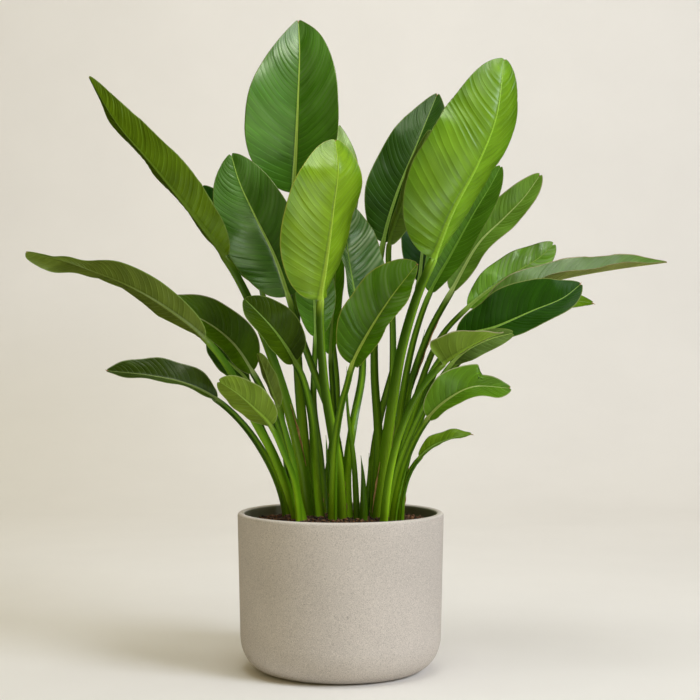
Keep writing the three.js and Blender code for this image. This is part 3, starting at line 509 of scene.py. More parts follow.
def leaf_skin(leaf, spine, sizes, draw):
    """Ring points of a leaf, with the maps that its material reads: vein, place and rim."""
    blade_length = spine.total - spine.collar
    greatest = max(leaf["half"])
    panels, starts = panel_rows(blade_length, sizes["vein_spacing"] * leaf["panel"], draw)

    # Columns run from the left margin over the midrib to the right margin
    side = np.array(RIB_COLUMNS + (1,) * len(BLADE_COLUMNS))
    outer = np.array((0,) * len(RIB_COLUMNS) + BLADE_COLUMNS)
    sign = np.concatenate([-np.ones(side.size), [0], np.ones(side.size)])
    side = np.concatenate([side[::-1], [0], side])
    outer = np.concatenate([outer[::-1], [0], outer])

    # Rows run up the stalk and then along the side veins, which bow towards the tip
    stalk_rows = np.linspace(0, spine.collar, max(8, round(spine.collar / STALK_ROW)), endpoint=False)
    sweep = VEIN_SWEEP * sum(leaf["half"]) / blade_length
    bow = 1 + sweep * (0.35 * outer + 0.65 * outer ** 2)
    blade_t = 1 - (1 - starts[:, None]) ** bow
    t = np.concatenate([np.zeros((stalk_rows.size, side.size)), blade_t])
    stalk_length = np.repeat(stalk_rows[:, None], side.size, 1)
    length = np.concatenate([stalk_length, spine.collar + blade_t * blade_length])
    on_blade = np.arange(t.shape[0])[:, None] >= stalk_rows.size
    count = np.concatenate([np.zeros(stalk_rows.size), panels])[:, None] + np.where(sign < 0, 0.5, 0)

    # Half widths of the midrib and of the whole leaf
    grown = spine.grown(length)
    collar = leaf["radii"][1]
    share = outline(leaf, t)
    blade_rib = np.minimum(collar * 0.9 * (1 - t) ** 0.8 + 0.8, collar)
    rib = np.where(on_blade, blade_rib, stalk_radius(leaf, grown))
    rib_depth = np.where(on_blade, collar * STALK_DEPTH * (1 - t) ** 0.9 + 0.4, rib * STALK_DEPTH)
    half = np.where(on_blade, np.maximum(rib, 1.2) + (greatest - rib) * share, rib)
    opened = smooth(0, COLLAR, t)
    fold = np.radians(np.where(on_blade, GROOVE + (along(leaf["fold"], t) - GROOVE) * opened, GROOVE))
    soft = 0.6 * rib
    slimmed = np.where(on_blade, 0.22 * opened + 0.38 * smooth(0, 0.8, t), 0)
    rib = rib * (1 - slimmed)
    rib_depth = rib_depth * (1 - slimmed)
    rib_share = np.minimum(rib / half, 1)
    middle_share = np.minimum(rib_share, 0.5)
    x = np.where(outer > 0, middle_share + (1 - middle_share) * outer, middle_share * side)
    left, right = leaf["half"]
    part = np.where(sign < 0, left, right) / greatest
    if "torn" in leaf:
        at, kept = leaf["torn"]
        part = np.where(sign < 0, part * (1 + (kept - 1) * smooth(at, at + TEAR, t)), part)
    reach = np.where(on_blade, np.maximum(half * part, rib), half)

    # Height of the upper face over the midrib's middle
    across = x * reach
    rounded = soft + np.where(on_blade, leaf["crease"] * reach, 0)
    rise = (np.hypot(across, rounded) - rounded) / (np.hypot(reach, rounded) - rounded)
    height = np.tan(fold) * (np.hypot(reach, soft) - soft) * rise
    shrink = np.where(on_blade, np.cos(fold), 1)
    turn = 2 * math.pi * leaf["waves"] * t + leaf["phase"] + np.where(sign > 0, MARGIN_LEAD, 0)
    ripple = leaf["wave"] * x ** 2 * np.sin(turn) * np.minimum(1, share * 2)
    height = height * shrink + np.where(on_blade, along(leaf["cup"], t) * half * x ** 2 + ripple, 0)
    pleats = relief(leaf, sizes, count, t * blade_length, across * sign, outer, share, draw)
    height += np.where(on_blade, pleats, 0)

    blade_skin = sizes["thickness"] * (1 - 0.6 * outer ** 2)
    skin = np.where(on_blade, blade_skin + (STALK_SKIN - blade_skin) * (1 - opened), STALK_SKIN)
    keel = rib_depth * np.sqrt(np.maximum(1 - np.minimum(x / rib_share, 1) ** 2, 0))

    middle, tangent, to_side, up = spine.frame(length, np.radians(along(leaf["roll"], t)))
    notch = leaf["notch"]
    nick = notch * np.exp(-(across / NICK_WIDTH) ** 2) * smooth(1 - 5 * notch / blade_length, 1, t)
    place = middle + to_side * (sign * across * shrink)[..., None] - tangent * nick[..., None]
    top = place + up * height[..., None]
    under = place + up * (height - skin - keel)[..., None]
    ring = keep_inside(np.concatenate([top, under[:, ::-1]], axis=1))

    def both_faces(values, added=0):
        return np.concatenate([values, values[:, ::-1] + added], axis=1)

    flat = np.zeros(t.shape)
    from_rim = np.where(on_blade, reach * (1 - x), FAR_FROM_RIM)
    maps = {
        "vein": np.stack([both_faces(count), both_faces(across * sign)], -1),
        "place": np.stack([both_faces(np.where(on_blade, t, grown - 1)), both_faces(flat, 1)], -1),
        "rim": np.stack([both_faces(from_rim), both_faces(x / rib_share)], -1),
    }
    return ring, maps


def relief(leaf, sizes, count, along_mm, across_mm, outer, share, draw):
    """Height of the pleats between the side veins and of the slow swells of a blade, in millimetres."""
    panels = int(count.max()) + 2
    tall = 0.2 + 1.7 * draw.uniform(0, 1, (2, panels)) ** 2
    panel = np.floor(count).astype(int)
    tallness = np.where(across_mm < 0, tall[0][panel], tall[1][panel])
    pleat = leaf["pleat"] * sizes["pleat"] * tallness * np.abs(np.sin(math.pi * count)) ** 0.8
    pleat = pleat * smooth(0.0, 0.2, outer) * (1 - 0.45 * outer) * np.minimum(1, share * 1.5)
    swell = np.zeros(along_mm.shape)
    for wavelength, size in SWELLS:
        angle, phase = draw.uniform(0, math.pi, 2)
        path = along_mm * math.cos(angle) + across_mm * math.sin(angle)
        swell = swell + size * np.sin(2 * math.pi * path / wavelength + 2 * phase)
    return pleat + swell * smooth(0.05, 0.6, outer) * np.minimum(1, share * 1.5)


def ring_grid(rows, columns, start=0):
    """Corners of rings laid row on row, and the faces between them."""
    corner = np.arange(rows * columns).reshape(rows, columns) + start
    onward = np.roll(corner, -1, axis=1)
    return corner, np.stack([corner[:-1], onward[:-1], onward[1:], corner[1:]], -1).reshape(-1, 4).tolist()


def join_tubes(tubes):
    """Points and faces of several closed tubes, each given as its rings, as one mesh."""
    points, faces, start = [], [], 0
    for rings in tubes:
        rows, columns = rings.shape[:2]
        corner, walls = ring_grid(rows, columns, start)
        faces += walls + [corner[0][::-1].tolist(), corner[-1].tolist()]
        points.append(rings.reshape(-1, 3))
        start += rows * columns
    return np.concatenate(points), faces


def add_mesh(name, points, faces, maps, material):
    """Makes a smooth-shaded object of points in millimetres, with a texture map for each entry of maps."""
    mesh = bpy.data.meshes.new(name)
    mesh.from_pydata((np.asarray(points) * MM).tolist(), [], faces)
    corners = np.empty(len(mesh.loops), dtype=np.int32)
    mesh.loops.foreach_get("vertex_index", corners)
    for key, values in maps.items():
        layer = mesh.uv_layers.new(name=key)
        layer.data.foreach_set("uv", values[corners].astype(np.float32).ravel())
    mesh.polygons.foreach_set("use_smooth", np.ones(len(mesh.polygons), dtype=bool))
    mesh.materials.append(material)
    mesh.update()
    piece = bpy.data.objects.new(name, mesh)
    bpy.context.scene.collection.objects.link(piece)
    return piece


class Shader:
    """The node tree of one material, with short calls for the nodes that the finishes use."""

    def __init__(self, name):
        self.material = bpy.data.materials.new(name)
        self.material.use_nodes = True
        self.tree = self.material.node_tree
        self.tree.nodes.clear()

    def node(self, kind, settings=None, **sockets):
        """A node with its settings, and its sockets fed by name, with _ for a space."""
        node = self.tree.nodes.new(kind)
        for key, value in (settings or {}).items():
            setattr(node, key, value)
        for key, value in sockets.items():
            self.feed(node.inputs[key.replace("_", " ")], value)
        return node

    def feed(self, socket, value):
        """Links a socket to another node's output, or sets it to a plain value."""
        if isinstance(value, bpy.types.NodeSocket):
            self.tree.links.new(value, socket)
        else:
            socket.default_value = value

    def maths(self, operation, first, second=0.0):
        node = self.node("ShaderNodeMath", {"operation": operation})
        self.feed(node.inputs[0], first)
        self.feed(node.inputs[1], second)
        return node.outputs[0]

    def step(self, value, low, high, to_low=0.0, to_high=1.0):
        """A smooth step from to_low, where value is low, to to_high."""
        settings = {"interpolation_type": "SMOOTHSTEP"}
        node = self.node("ShaderNodeMapRange", settings, Value=value, From_Min=low, From_Max=high,
                         To_Min=to_low, To_Max=to_high)
        return node.outputs["Result"]

    def product(self, first, second):
        return self.maths("MULTIPLY", first, second)

    def blend(self, factor, first, second, kind="MIX"):
        node = self.node("ShaderNodeMix", {"data_type": "RGBA", "blend_type": kind})
        self.feed(node.inputs[0], factor)
        self.feed(node.inputs[6], first)
        self.feed(node.inputs[7], second)
        return node.outputs[2]

    def tint(self, colour, by):
        """The colour times another, channel by channel."""
        return self.blend(1.0, colour, by, "MULTIPLY")

    def read_map(self, name):
        """The two numbers of a texture map."""
        source = self.node("ShaderNodeUVMap", {"uv_map": name})
        parts = self.node("ShaderNodeSeparateXYZ", Vector=source.outputs["UV"])
        return parts.outputs["X"], parts.outputs["Y"]

    def noise(self, scale, detail=2.0, roughness=0.5, stretch=(1, 1, 1)):
        """Cloudy grey values fixed to the object's own space, with features of 1/scale metres."""
        place = self.node("ShaderNodeTexCoord").outputs["Object"]
        spread = self.node("ShaderNodeMapping", Vector=place, Scale=stretch).outputs["Vector"]
        node = self.node("ShaderNodeTexNoise", Vector=spread, Scale=scale, Detail=detail, Roughness=roughness)
        return node.outputs["Fac"]

    def from_axis(self):
        """How far a point is from the object's upright axis, and how high it is, in metres."""
        x, y, up = self.place()
        return self.maths("SQRT", self.maths("ADD", self.product(x, x), self.product(y, y))), up

    def place(self):
        """The point's own place on the object, in metres."""
        coordinates = self.node("ShaderNodeTexCoord").outputs["Object"]
        return self.node("ShaderNodeSeparateXYZ", Vector=coordinates).outputs

    def strands(self, count, across, wide, long):
        """Grey values drawn out along the side veins: wide turns a panel, and long turns a millimetre."""
        place = self.node("ShaderNodeCombineXYZ", X=self.product(count, wide), Y=self.product(across, long))
        node = self.node("ShaderNodeTexNoise", Vector=place.outputs["Vector"], Scale=1.0, Detail=2.0)
        return node.outputs["Fac"]

    def bump(self, height, distance):
        return self.node("ShaderNodeBump", Height=height, Distance=distance).outputs["Normal"]

    def surface(self, colour, rough, specular=0.5, **sockets):
        node = self.node("ShaderNodeBsdfPrincipled", Base_Color=colour, Roughness=rough,
                         Specular_IOR_Level=specular, **sockets)
        return node.outputs["BSDF"]

    def output(self, surface):
        self.node("ShaderNodeOutputMaterial", Surface=surface)
        return self.material


def leaf_material(leaf, stalk_base, stalk_top):
    """Waxy leaf: veins, midrib, rim and stalk in their own colours with painted shade and painted highlights,
    and some light through the blade.
    """
    shader = Shader(leaf["name"] + "_skin")
    count, across = shader.read_map("vein")
    place, under = shader.read_map("place")
    from_rim, on_rib = shader.read_map("rim")

    # Both faces in their own green, cloudy, and streaked along the side veins
    upper = linear(leaf["upper"])
    below = linear(leaf["under"])
    clouds = shader.step(shader.noise(9.0, 3.0), 0.3, 0.7)
    face = shader.blend(under, shader.blend(clouds, shade(upper, 0.78), shade(upper, 1.2)),
                        shader.blend(clouds, shade(below, 0.86), shade(below, 1.12)))
    # Painted highlight: the blade grows lighter towards the tip by the leaf's tip tone
    face = shader.blend(shader.step(place, 0.2, 0.95), face, shader.tint(face, (leaf["tip"],) * 3 + (1,)))
    # Painted shade: one half darker than the other, by the leaf's halves, where it turns from the light
    face = shader.tint(face, shader.step(across, -1.5, 1.5, *leaf["halves"]))
    strands = shader.strands(count, across, 2.3, 0.035)
    face = shader.tint(face, shader.blend(strands, (0.8, 0.8, 0.74, 1), (1.2, 1.17, 1.25, 1)))
    bands = shader.step(shader.strands(count, across, 0.42, 0.012), 0.32, 0.68)
    face = shader.tint(face, shader.blend(bands, (0.86, 0.87, 0.8, 1), (1.14, 1.12, 1.2, 1)))

    # Painted highlight: pale sheen on the crests of the pleats towards the tip, and fine threads along them
    near_vein = shader.maths("PINGPONG", count, 0.5)
    crest = shader.product(bands, shader.step(near_vein, 0.06, 0.42, 0.35, 1.0))
    bloom = shader.product(shader.step(place, 0.12, 0.65, 0.0, leaf["bloom"]), crest)
    face = shader.blend(bloom, face, linear("#c2d6a8"))
    threads = shader.maths("SINE", shader.product(count, 2 * math.pi * THREADS))
    face = shader.blend(shader.step(threads, 0.2, 1.0, 0.0, 0.10), face, shade(below, 1.35))

    # Side veins, fading in and out
    valley = shader.step(near_vein, 0.0, 0.16, 1.0, 0.0)
    line = shader.step(near_vein, 0.02, 0.12, 1.0, 0.0)
    fade = shader.step(shader.strands(count, across, 0.6, 0.05), 0.3, 0.75)
    line = shader.product(line, shader.product(fade, 0.4 * leaf["veins"]))
    face = shader.blend(line, face, shader.blend(under, shade(upper, 1.9), shade(below, 1.5)))

    # Painted shade that darkens the margins and lies in the crease beside the midrib, then the midrib itself,
    # with painted shade down its groove, and the rim
    darker = shader.step(from_rim, 2.0, 24.0, leaf["edge"], 0.0)
    face = shader.blend(darker, face, shader.tint(face, (0.5, 0.62, 0.2, 1)))
    # Painted shade in the crease where the blade meets the midrib
    crease = shader.product(shader.step(on_rib, 1.0, 2.4, 0.4, 0.0), shader.step(under, 0.2, 0.8, 1.0, 0.5))
    face = shader.blend(crease, face, shader.tint(face, (0.35, 0.45, 0.3, 1)))
    keel = linear(leaf["keel"]) if "keel" in leaf else shade(below, 1.2)
    # Painted shade: a darker line down the groove of the midrib on the upper face
    groove = shader.step(on_rib, 0.05, 0.35, 0.25, 0.0)
    rib = shader.blend(groove, linear(leaf["rib"]), shade(upper, 0.8))
    face = shader.blend(shader.step(on_rib, 0.75, 1.15, 1.0, 0.0), face, shader.blend(under, rib, keel))
    face = shader.blend(shader.step(from_rim, 0.5, 2.0, 0.9, 0.0), face, linear(leaf["rim"]))

    # The stalk, with long streaks, a painted highlight down its middle and painted shade at its edges
    # Painted shade: the stalk colours are darker the further back the root stands
    stalk_low = shade(linear(stalk_base), leaf["stalk_shade"])
    stalk_high = shade(linear(stalk_top), leaf["stalk_shade"])
    streaks = shader.step(shader.noise(26.0, 3.0, 0.6, (1, 1, 0.12)), 0.3, 0.72)
    stalk = shader.blend(shader.step(place, -0.85, -0.25), stalk_low, stalk_high)
    stalk = shader.blend(streaks, shader.tint(stalk, (0.7, 0.74, 0.6, 1)), stalk)
    # Painted highlight down the middle of the stalk
    stalk = shader.blend(shader.step(on_rib, 0.0, 0.45, 0.3, 0.0), stalk, shade(stalk_low, 1.5))
    # Painted shade at the stalk's edges, to make it look round
    stalk_edge_shade = shader.step(on_rib, 0.4, 1.0, 0.0, 0.75)
    stalk = shader.blend(stalk_edge_shade, stalk, shader.tint(stalk, (0.3, 0.42, 0.25, 1)))
    colour = shader.blend(shader.step(place, -0.08, 0.02), stalk, face)

    furrows = shader.product(valley, shader.step(under, 0.2, 0.8, -2.4, 2.4))
    normal = shader.bump(shader.maths("ADD", shader.product(threads, 0.2), furrows), 0.00012)
    rough = shader.step(strands, 0.2, 0.8, leaf["rough"] + 0.08, leaf["rough"] - 0.06)
    coat = shader.step(place, -0.08, 0.02, 0.2, leaf["coat"])
    wax = shader.surface(colour, rough, 0.08, Normal=normal, Coat_Weight=coat,
                         Coat_Roughness=leaf["rough"] - 0.06)
    glow = shader.node("ShaderNodeBsdfTranslucent", Color=shader.tint(colour, (1.5, 1.6, 0.4, 1)))
    mixed = shader.node("ShaderNodeMixShader", Fac=THROUGH)
    shader.feed(mixed.inputs[1], wax)
    shader.feed(mixed.inputs[2], glow.outputs[0])
    return shader.output(mixed.outputs[0])


def shoot_material():
    """Rolled young leaf: fresh green with darker long streaks."""
    shader = Shader("rolled_leaf")
    streaks = shader.step(shader.noise(40.0, 3.0, 0.6, (1, 1, 0.08)), 0.3, 0.7)
    colour = shader.blend(streaks, linear("#2f5602"), linear("#5c8608"))
    return shader.output(shader.surface(colour, 0.42, 0.15))


def dry_material():
    """Dried leaf tissue: brown with paler fibres."""
    shader = Shader("dry_leaf")
    fibres = shader.step(shader.noise(300.0, 3.0, 0.6, (1, 1, 0.2)), 0.3, 0.7)
    colour = shader.blend(fibres, linear("#7a5226"), linear("#c49a58"))
    return shader.output(shader.surface(colour, 0.8))


def pot_material(colour):
    """Matte mineral finish with a fine speckled grain."""
    shader = Shader("speckled_pot")
    base = linear(colour)
    clouds = shader.step(shader.noise(9.0, 4.0), 0.25, 0.75)
    tone = shader.blend(clouds, shade(base, 0.93), shade(base, 1.05))
    grains = shader.noise(780.0, 2.0, 0.6)
    tone = shader.blend(shader.step(grains, 0.52, 0.66, 0.0, 0.75), tone, shade(base, 0.64))
    tone = shader.blend(shader.step(grains, 0.46, 0.34, 0.0, 0.65), tone, shade(base, 1.28))
    specks = shader.step(shader.noise(420.0, 1.0, 0.5), 0.68, 0.76, 0.0, 0.5)
    tone = shader.blend(specks, tone, shade(base, 0.45))
    across, up = shader.from_axis()
    # Painted highlight: the top of the lip is lighter
    lip = shader.step(up, (POT_HEIGHT - 3) * MM, (POT_HEIGHT - 0.5) * MM, 0.0, 0.8)
    tone = shader.blend(lip, tone, shade(base, 1.3))
    # Painted shade and green light off the leaves: the inner wall's upper part is a darker olive grey
    bore = POT_RADIUS - POT_WALL
    inside = shader.product(shader.step(across, (bore + 0.2) * MM, (bore + 2) * MM, 1.0, 0.0),
                            shader.step(up, CORNER_HEIGHT * MM, 2 * CORNER_HEIGHT * MM))
    tone = shader.blend(inside, tone, linear("#7c7a62"))
    normal = shader.bump(shader.noise(700.0, 3.0, 0.7), 0.0004)
    return shader.output(shader.surface(tone, 0.78, 0.3, Normal=normal))


def soil_material(name, dark, light, map_name=None):
    """Moist potting mix: dark brown with lighter crumbs, or a tint of its own for each crumb."""
    shader = Shader(name)
    if map_name:
        tint = shader.read_map(map_name)[0]
    else:
        tint = shader.step(shader.noise(160.0, 4.0, 0.7), 0.35, 0.7)
    colour = shader.blend(tint, linear(dark), linear(light))
    normal = shader.bump(shader.noise(700.0, 3.0, 0.7), 0.001)
    return shader.output(shader.surface(colour, 0.85, Normal=normal))


def stage_material(colour):
    """Pale painted backdrop, very slightly cloudy, with a painted shadow that darkens it low down on the
    left.
    """
    shader = Shader("studio_backdrop")
    base = linear(colour)
    clouds = shader.step(shader.noise(1.3, 4.0, 0.6), 0.3, 0.7)
    tone = shader.blend(clouds, shade(base, 0.975), shade(base, 1.01))
    across, _, up = shader.place()
    # Painted shadow of the plant and pot, low down on the left of the floor and backdrop
    painted_shadow = shader.product(shader.step(across, -1.4, 0.2, 1.0, 0.0), shader.step(up, 0.1, 0.8, 1.0, 0.0))
    tone = shader.blend(painted_shadow, tone, shader.tint(tone, (0.92, 0.91, 0.86, 1)))
    return shader.output(shader.surface(tone, 0.9, 0.15))


def arc(centre, radii, start, end, steps):
    """Points of an arc, in degrees, as (radius, height)."""
    turn = np.radians(np.linspace(start, end, steps + 1))
    return np.stack([centre[0] + radii[0] * np.cos(turn), centre[1] + radii[1] * np.sin(turn)], -1)


def pot_profile():
    """Half section of the pot, from the middle of its underside round the lip to the middle of its floor."""
    foot = POT_RADIUS - POT_TAPER
    inside = POT_RADIUS - POT_WALL
    inside_foot = foot - POT_WALL
    lip = POT_HEIGHT - LIP_RADIUS
    corner = (CORNER_WIDTH, CORNER_HEIGHT)
    rounding = (LIP_RADIUS, LIP_RADIUS)
    underside = np.array([[0, 0], [foot * 0.35, 0]])
    outer_corner = arc((foot - CORNER_WIDTH, CORNER_HEIGHT), corner, -90, 0, 24)
    wall = np.linspace(outer_corner[-1], (POT_RADIUS, lip), 14)[1:-1]
    outer_lip = arc((POT_RADIUS - LIP_RADIUS, lip), rounding, 0, 90, 8)
    inner_lip = arc((inside + LIP_RADIUS, lip), rounding, 90, 180, 8)
    inner_corner = arc((inside_foot - CORNER_WIDTH, POT_FLOOR + CORNER_HEIGHT), corner, 0, -90, 12)
    floor = [[0, POT_FLOOR]]
    return np.concatenate([underside, outer_corner, wall, outer_lip, inner_lip, inner_corner, floor])


def lathe(name, profile, sides, material):
    """Turns a half section that starts and ends on the axis into a closed body."""
    turn = turns(sides)
    radius = profile[1:-1, 0][:, None]
    height = np.repeat(profile[1:-1, 1][:, None], sides, 1)
    body = np.stack([radius * np.cos(turn), radius * np.sin(turn), height], -1).reshape(-1, 3)
    points = np.concatenate([body, [[0, 0, profile[0, 1]], [0, 0, profile[-1, 1]]]])
    corner, faces = ring_grid(profile.shape[0] - 2, sides)
    first, last = len(body), len(body) + 1
    faces += [[first, b, a] for a, b in zip(corner[0].tolist(), np.roll(corner[0], -1).tolist())]
    faces += [[last, a, b] for a, b in zip(corner[-1].tolist(), np.roll(corner[-1], -1).tolist())]
    return add_mesh(name, points, faces, {}, material)


def soil_height(x, y):
    """Height of the soil's surface: domed and lumpy as in the solid, with loose mix round the stalks."""
    out = np.hypot(x, y) / SOIL_RADIUS
    dome = SOIL_EDGE + SOIL_RISE * (1 - out ** 2) + LOOSE_MIX * (1 - smooth(0.5, 0.9, out))
    return dome + SOIL_LUMP * (np.sin(x / 13) * np.cos(y / 11) + np.sin((x + y) / 7))


def crumbs(count, sizes, draw, reach):
    """Small broken lumps with twenty sides, lying on the soil, as points, faces and a tint each."""
    ratio = (1 + 5 ** 0.5) / 2
    corner_distance = 1.9
    corners = np.array([(-1, ratio, 0), (1, ratio, 0), (-1, -ratio, 0), (1, -ratio, 0),
                        (0, -1, ratio), (0, 1, ratio), (0, -1, -ratio), (0, 1, -ratio),
                        (ratio, 0, -1), (ratio, 0, 1), (-ratio, 0, -1), (-ratio, 0, 1)]) / corner_distance
    sides = np.array([(0, 11, 5), (0, 5, 1), (0, 1, 7), (0, 7, 10), (0, 10, 11), (1, 5, 9), (5, 11, 4),
                      (11, 10, 2), (10, 7, 6), (7, 1, 8), (3, 9, 4), (3, 4, 2), (3, 2, 6), (3, 6, 8),
                      (3, 8, 9), (4, 9, 5), (2, 4, 11), (6, 2, 10), (8, 6, 7), (9, 8, 1)])
    radius = reach * np.sqrt(draw.uniform(0, 1, count))
    turn = draw.uniform(0, 2 * math.pi, count)
    x, y = radius * np.cos(turn), radius * np.sin(turn)
    size = draw.uniform(*sizes, count) * draw.uniform(0.5, 1, count)
    stretch = draw.uniform(0.5, 1.3, (count, 1, 3)) * np.array([1, 1, 0.7])
    bodies = corners * draw.uniform(0.75, 1.25, (count, len(corners), 1)) * stretch * size[:, None, None]
    spin = draw.uniform(0, 2 * math.pi, count)
    cosine, sine = np.cos(spin)[:, None], np.sin(spin)[:, None]
    turned = np.stack([bodies[..., 0] * cosine - bodies[..., 1] * sine,
                       bodies[..., 0] * sine + bodies[..., 1] * cosine, bodies[..., 2]], -1)
    lift = soil_height(x, y) + size * draw.uniform(0.0, 0.55, count)
    points = turned + np.stack([x, y, lift], -1)[:, None]
    faces = (sides[None] + len(corners) * np.arange(count)[:, None, None]).reshape(-1, 3).tolist()
    tint = np.repeat(draw.uniform(0, 1, count), len(corners))
    return points.reshape(-1, 3), faces, {"tint": np.stack([tint, tint], -1)}


def tapered_tube(path, radii, sides):
    """Rings of a round tube along a path of points, with a radius at each."""
    path = np.asarray(path, float)
    tangent = np.gradient(path, axis=0)
    tangent /= np.linalg.norm(tangent, axis=1, keepdims=True)
    level = np.cross(tangent, np.array([0.0, 0.6, 0.8]))
    level /= np.linalg.norm(level, axis=1, keepdims=True)
    cross = np.cross(tangent, level)
    turn = turns(sides)
    around = level[:, None] * np.cos(turn)[:, None] + cross[:, None] * np.sin(turn)[:, None]
    return path[:, None] + around * np.asarray(radii)[:, None, None]


class StageSettings(bpy.types.PropertyGroup):
    floor_colour: bpy.props.StringProperty(
        name="Floor colour", description="Colour of the floor and backdrop", default="#f4f2ed")
    room_colour: bpy.props.StringProperty(
        name="Room colour", description="Colour seen beyond the edges of the backdrop", default="#ddd6c8")
    key_power: bpy.props.FloatProperty(
        name="Key light", description="Power of the large soft light at the right", default=440,
        subtype="POWER")
    top_power: bpy.props.FloatProperty(
        name="Top light", description="Power of the soft light overhead", default=38, subtype="POWER")
    backdrop_power: bpy.props.FloatProperty(
        name="Backdrop light", description="Power of the soft light on the backdrop", default=17,
        subtype="POWER")
    high_gleam: bpy.props.FloatProperty(
        name="High gleam", description="Power of the light that only gleams, from above", default=44,
        subtype="POWER")
    front_gleam: bpy.props.FloatProperty(
        name="Front gleam", description="Power of the light that only gleams, from the front", default=12,
        subtype="POWER")
    sky: bpy.props.FloatProperty(
        name="Fill", description="Strength of the even light from all round", default=0.285)


class PotSettings(bpy.types.PropertyGroup):
    colour: bpy.props.StringProperty(
        name="Colour", description="Colour of the pot's mineral finish", default="#cdc5bb")


class SoilSettings(bpy.types.PropertyGroup):
    crumbs: bpy.props.IntProperty(
        name="Crumbs", description="Number of crumbs of soil that lie on the surface", default=2200, min=0)
    bark: bpy.props.IntProperty(
        name="Bark", description="Number of chips of bark among them", default=420, min=0)


class LeafSettings(bpy.types.PropertyGroup):
    vein_spacing: bpy.props.FloatProperty(
        name="Vein spacing", description="Distance between side veins along the midrib", default=0.0086,
        subtype="DISTANCE", unit="LENGTH")
    thickness: bpy.props.FloatProperty(
        name="Thickness", description="Thickness of a blade beside its midrib", default=0.0006,
        subtype="DISTANCE", unit="LENGTH")
    pleat: bpy.props.FloatProperty(
        name="Pleats", description="Height of every leaf's pleats, as a share of its own", default=1.0, min=0)
    stalk_base: bpy.props.StringProperty(
        name="Stalk base", description="Colour of the stalks near the soil", default="#96c620")
    stalk_top: bpy.props.StringProperty(
        name="Stalk top", description="Colour of the stalks near the blades", default="#6a9424")


def keep_on_plant(piece, slot, *nodes):
    """The piece rides on the plant and stands for the named solids, which it hides. slot is not used."""
    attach(piece, BODY)
    if nodes:
        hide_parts(*nodes)


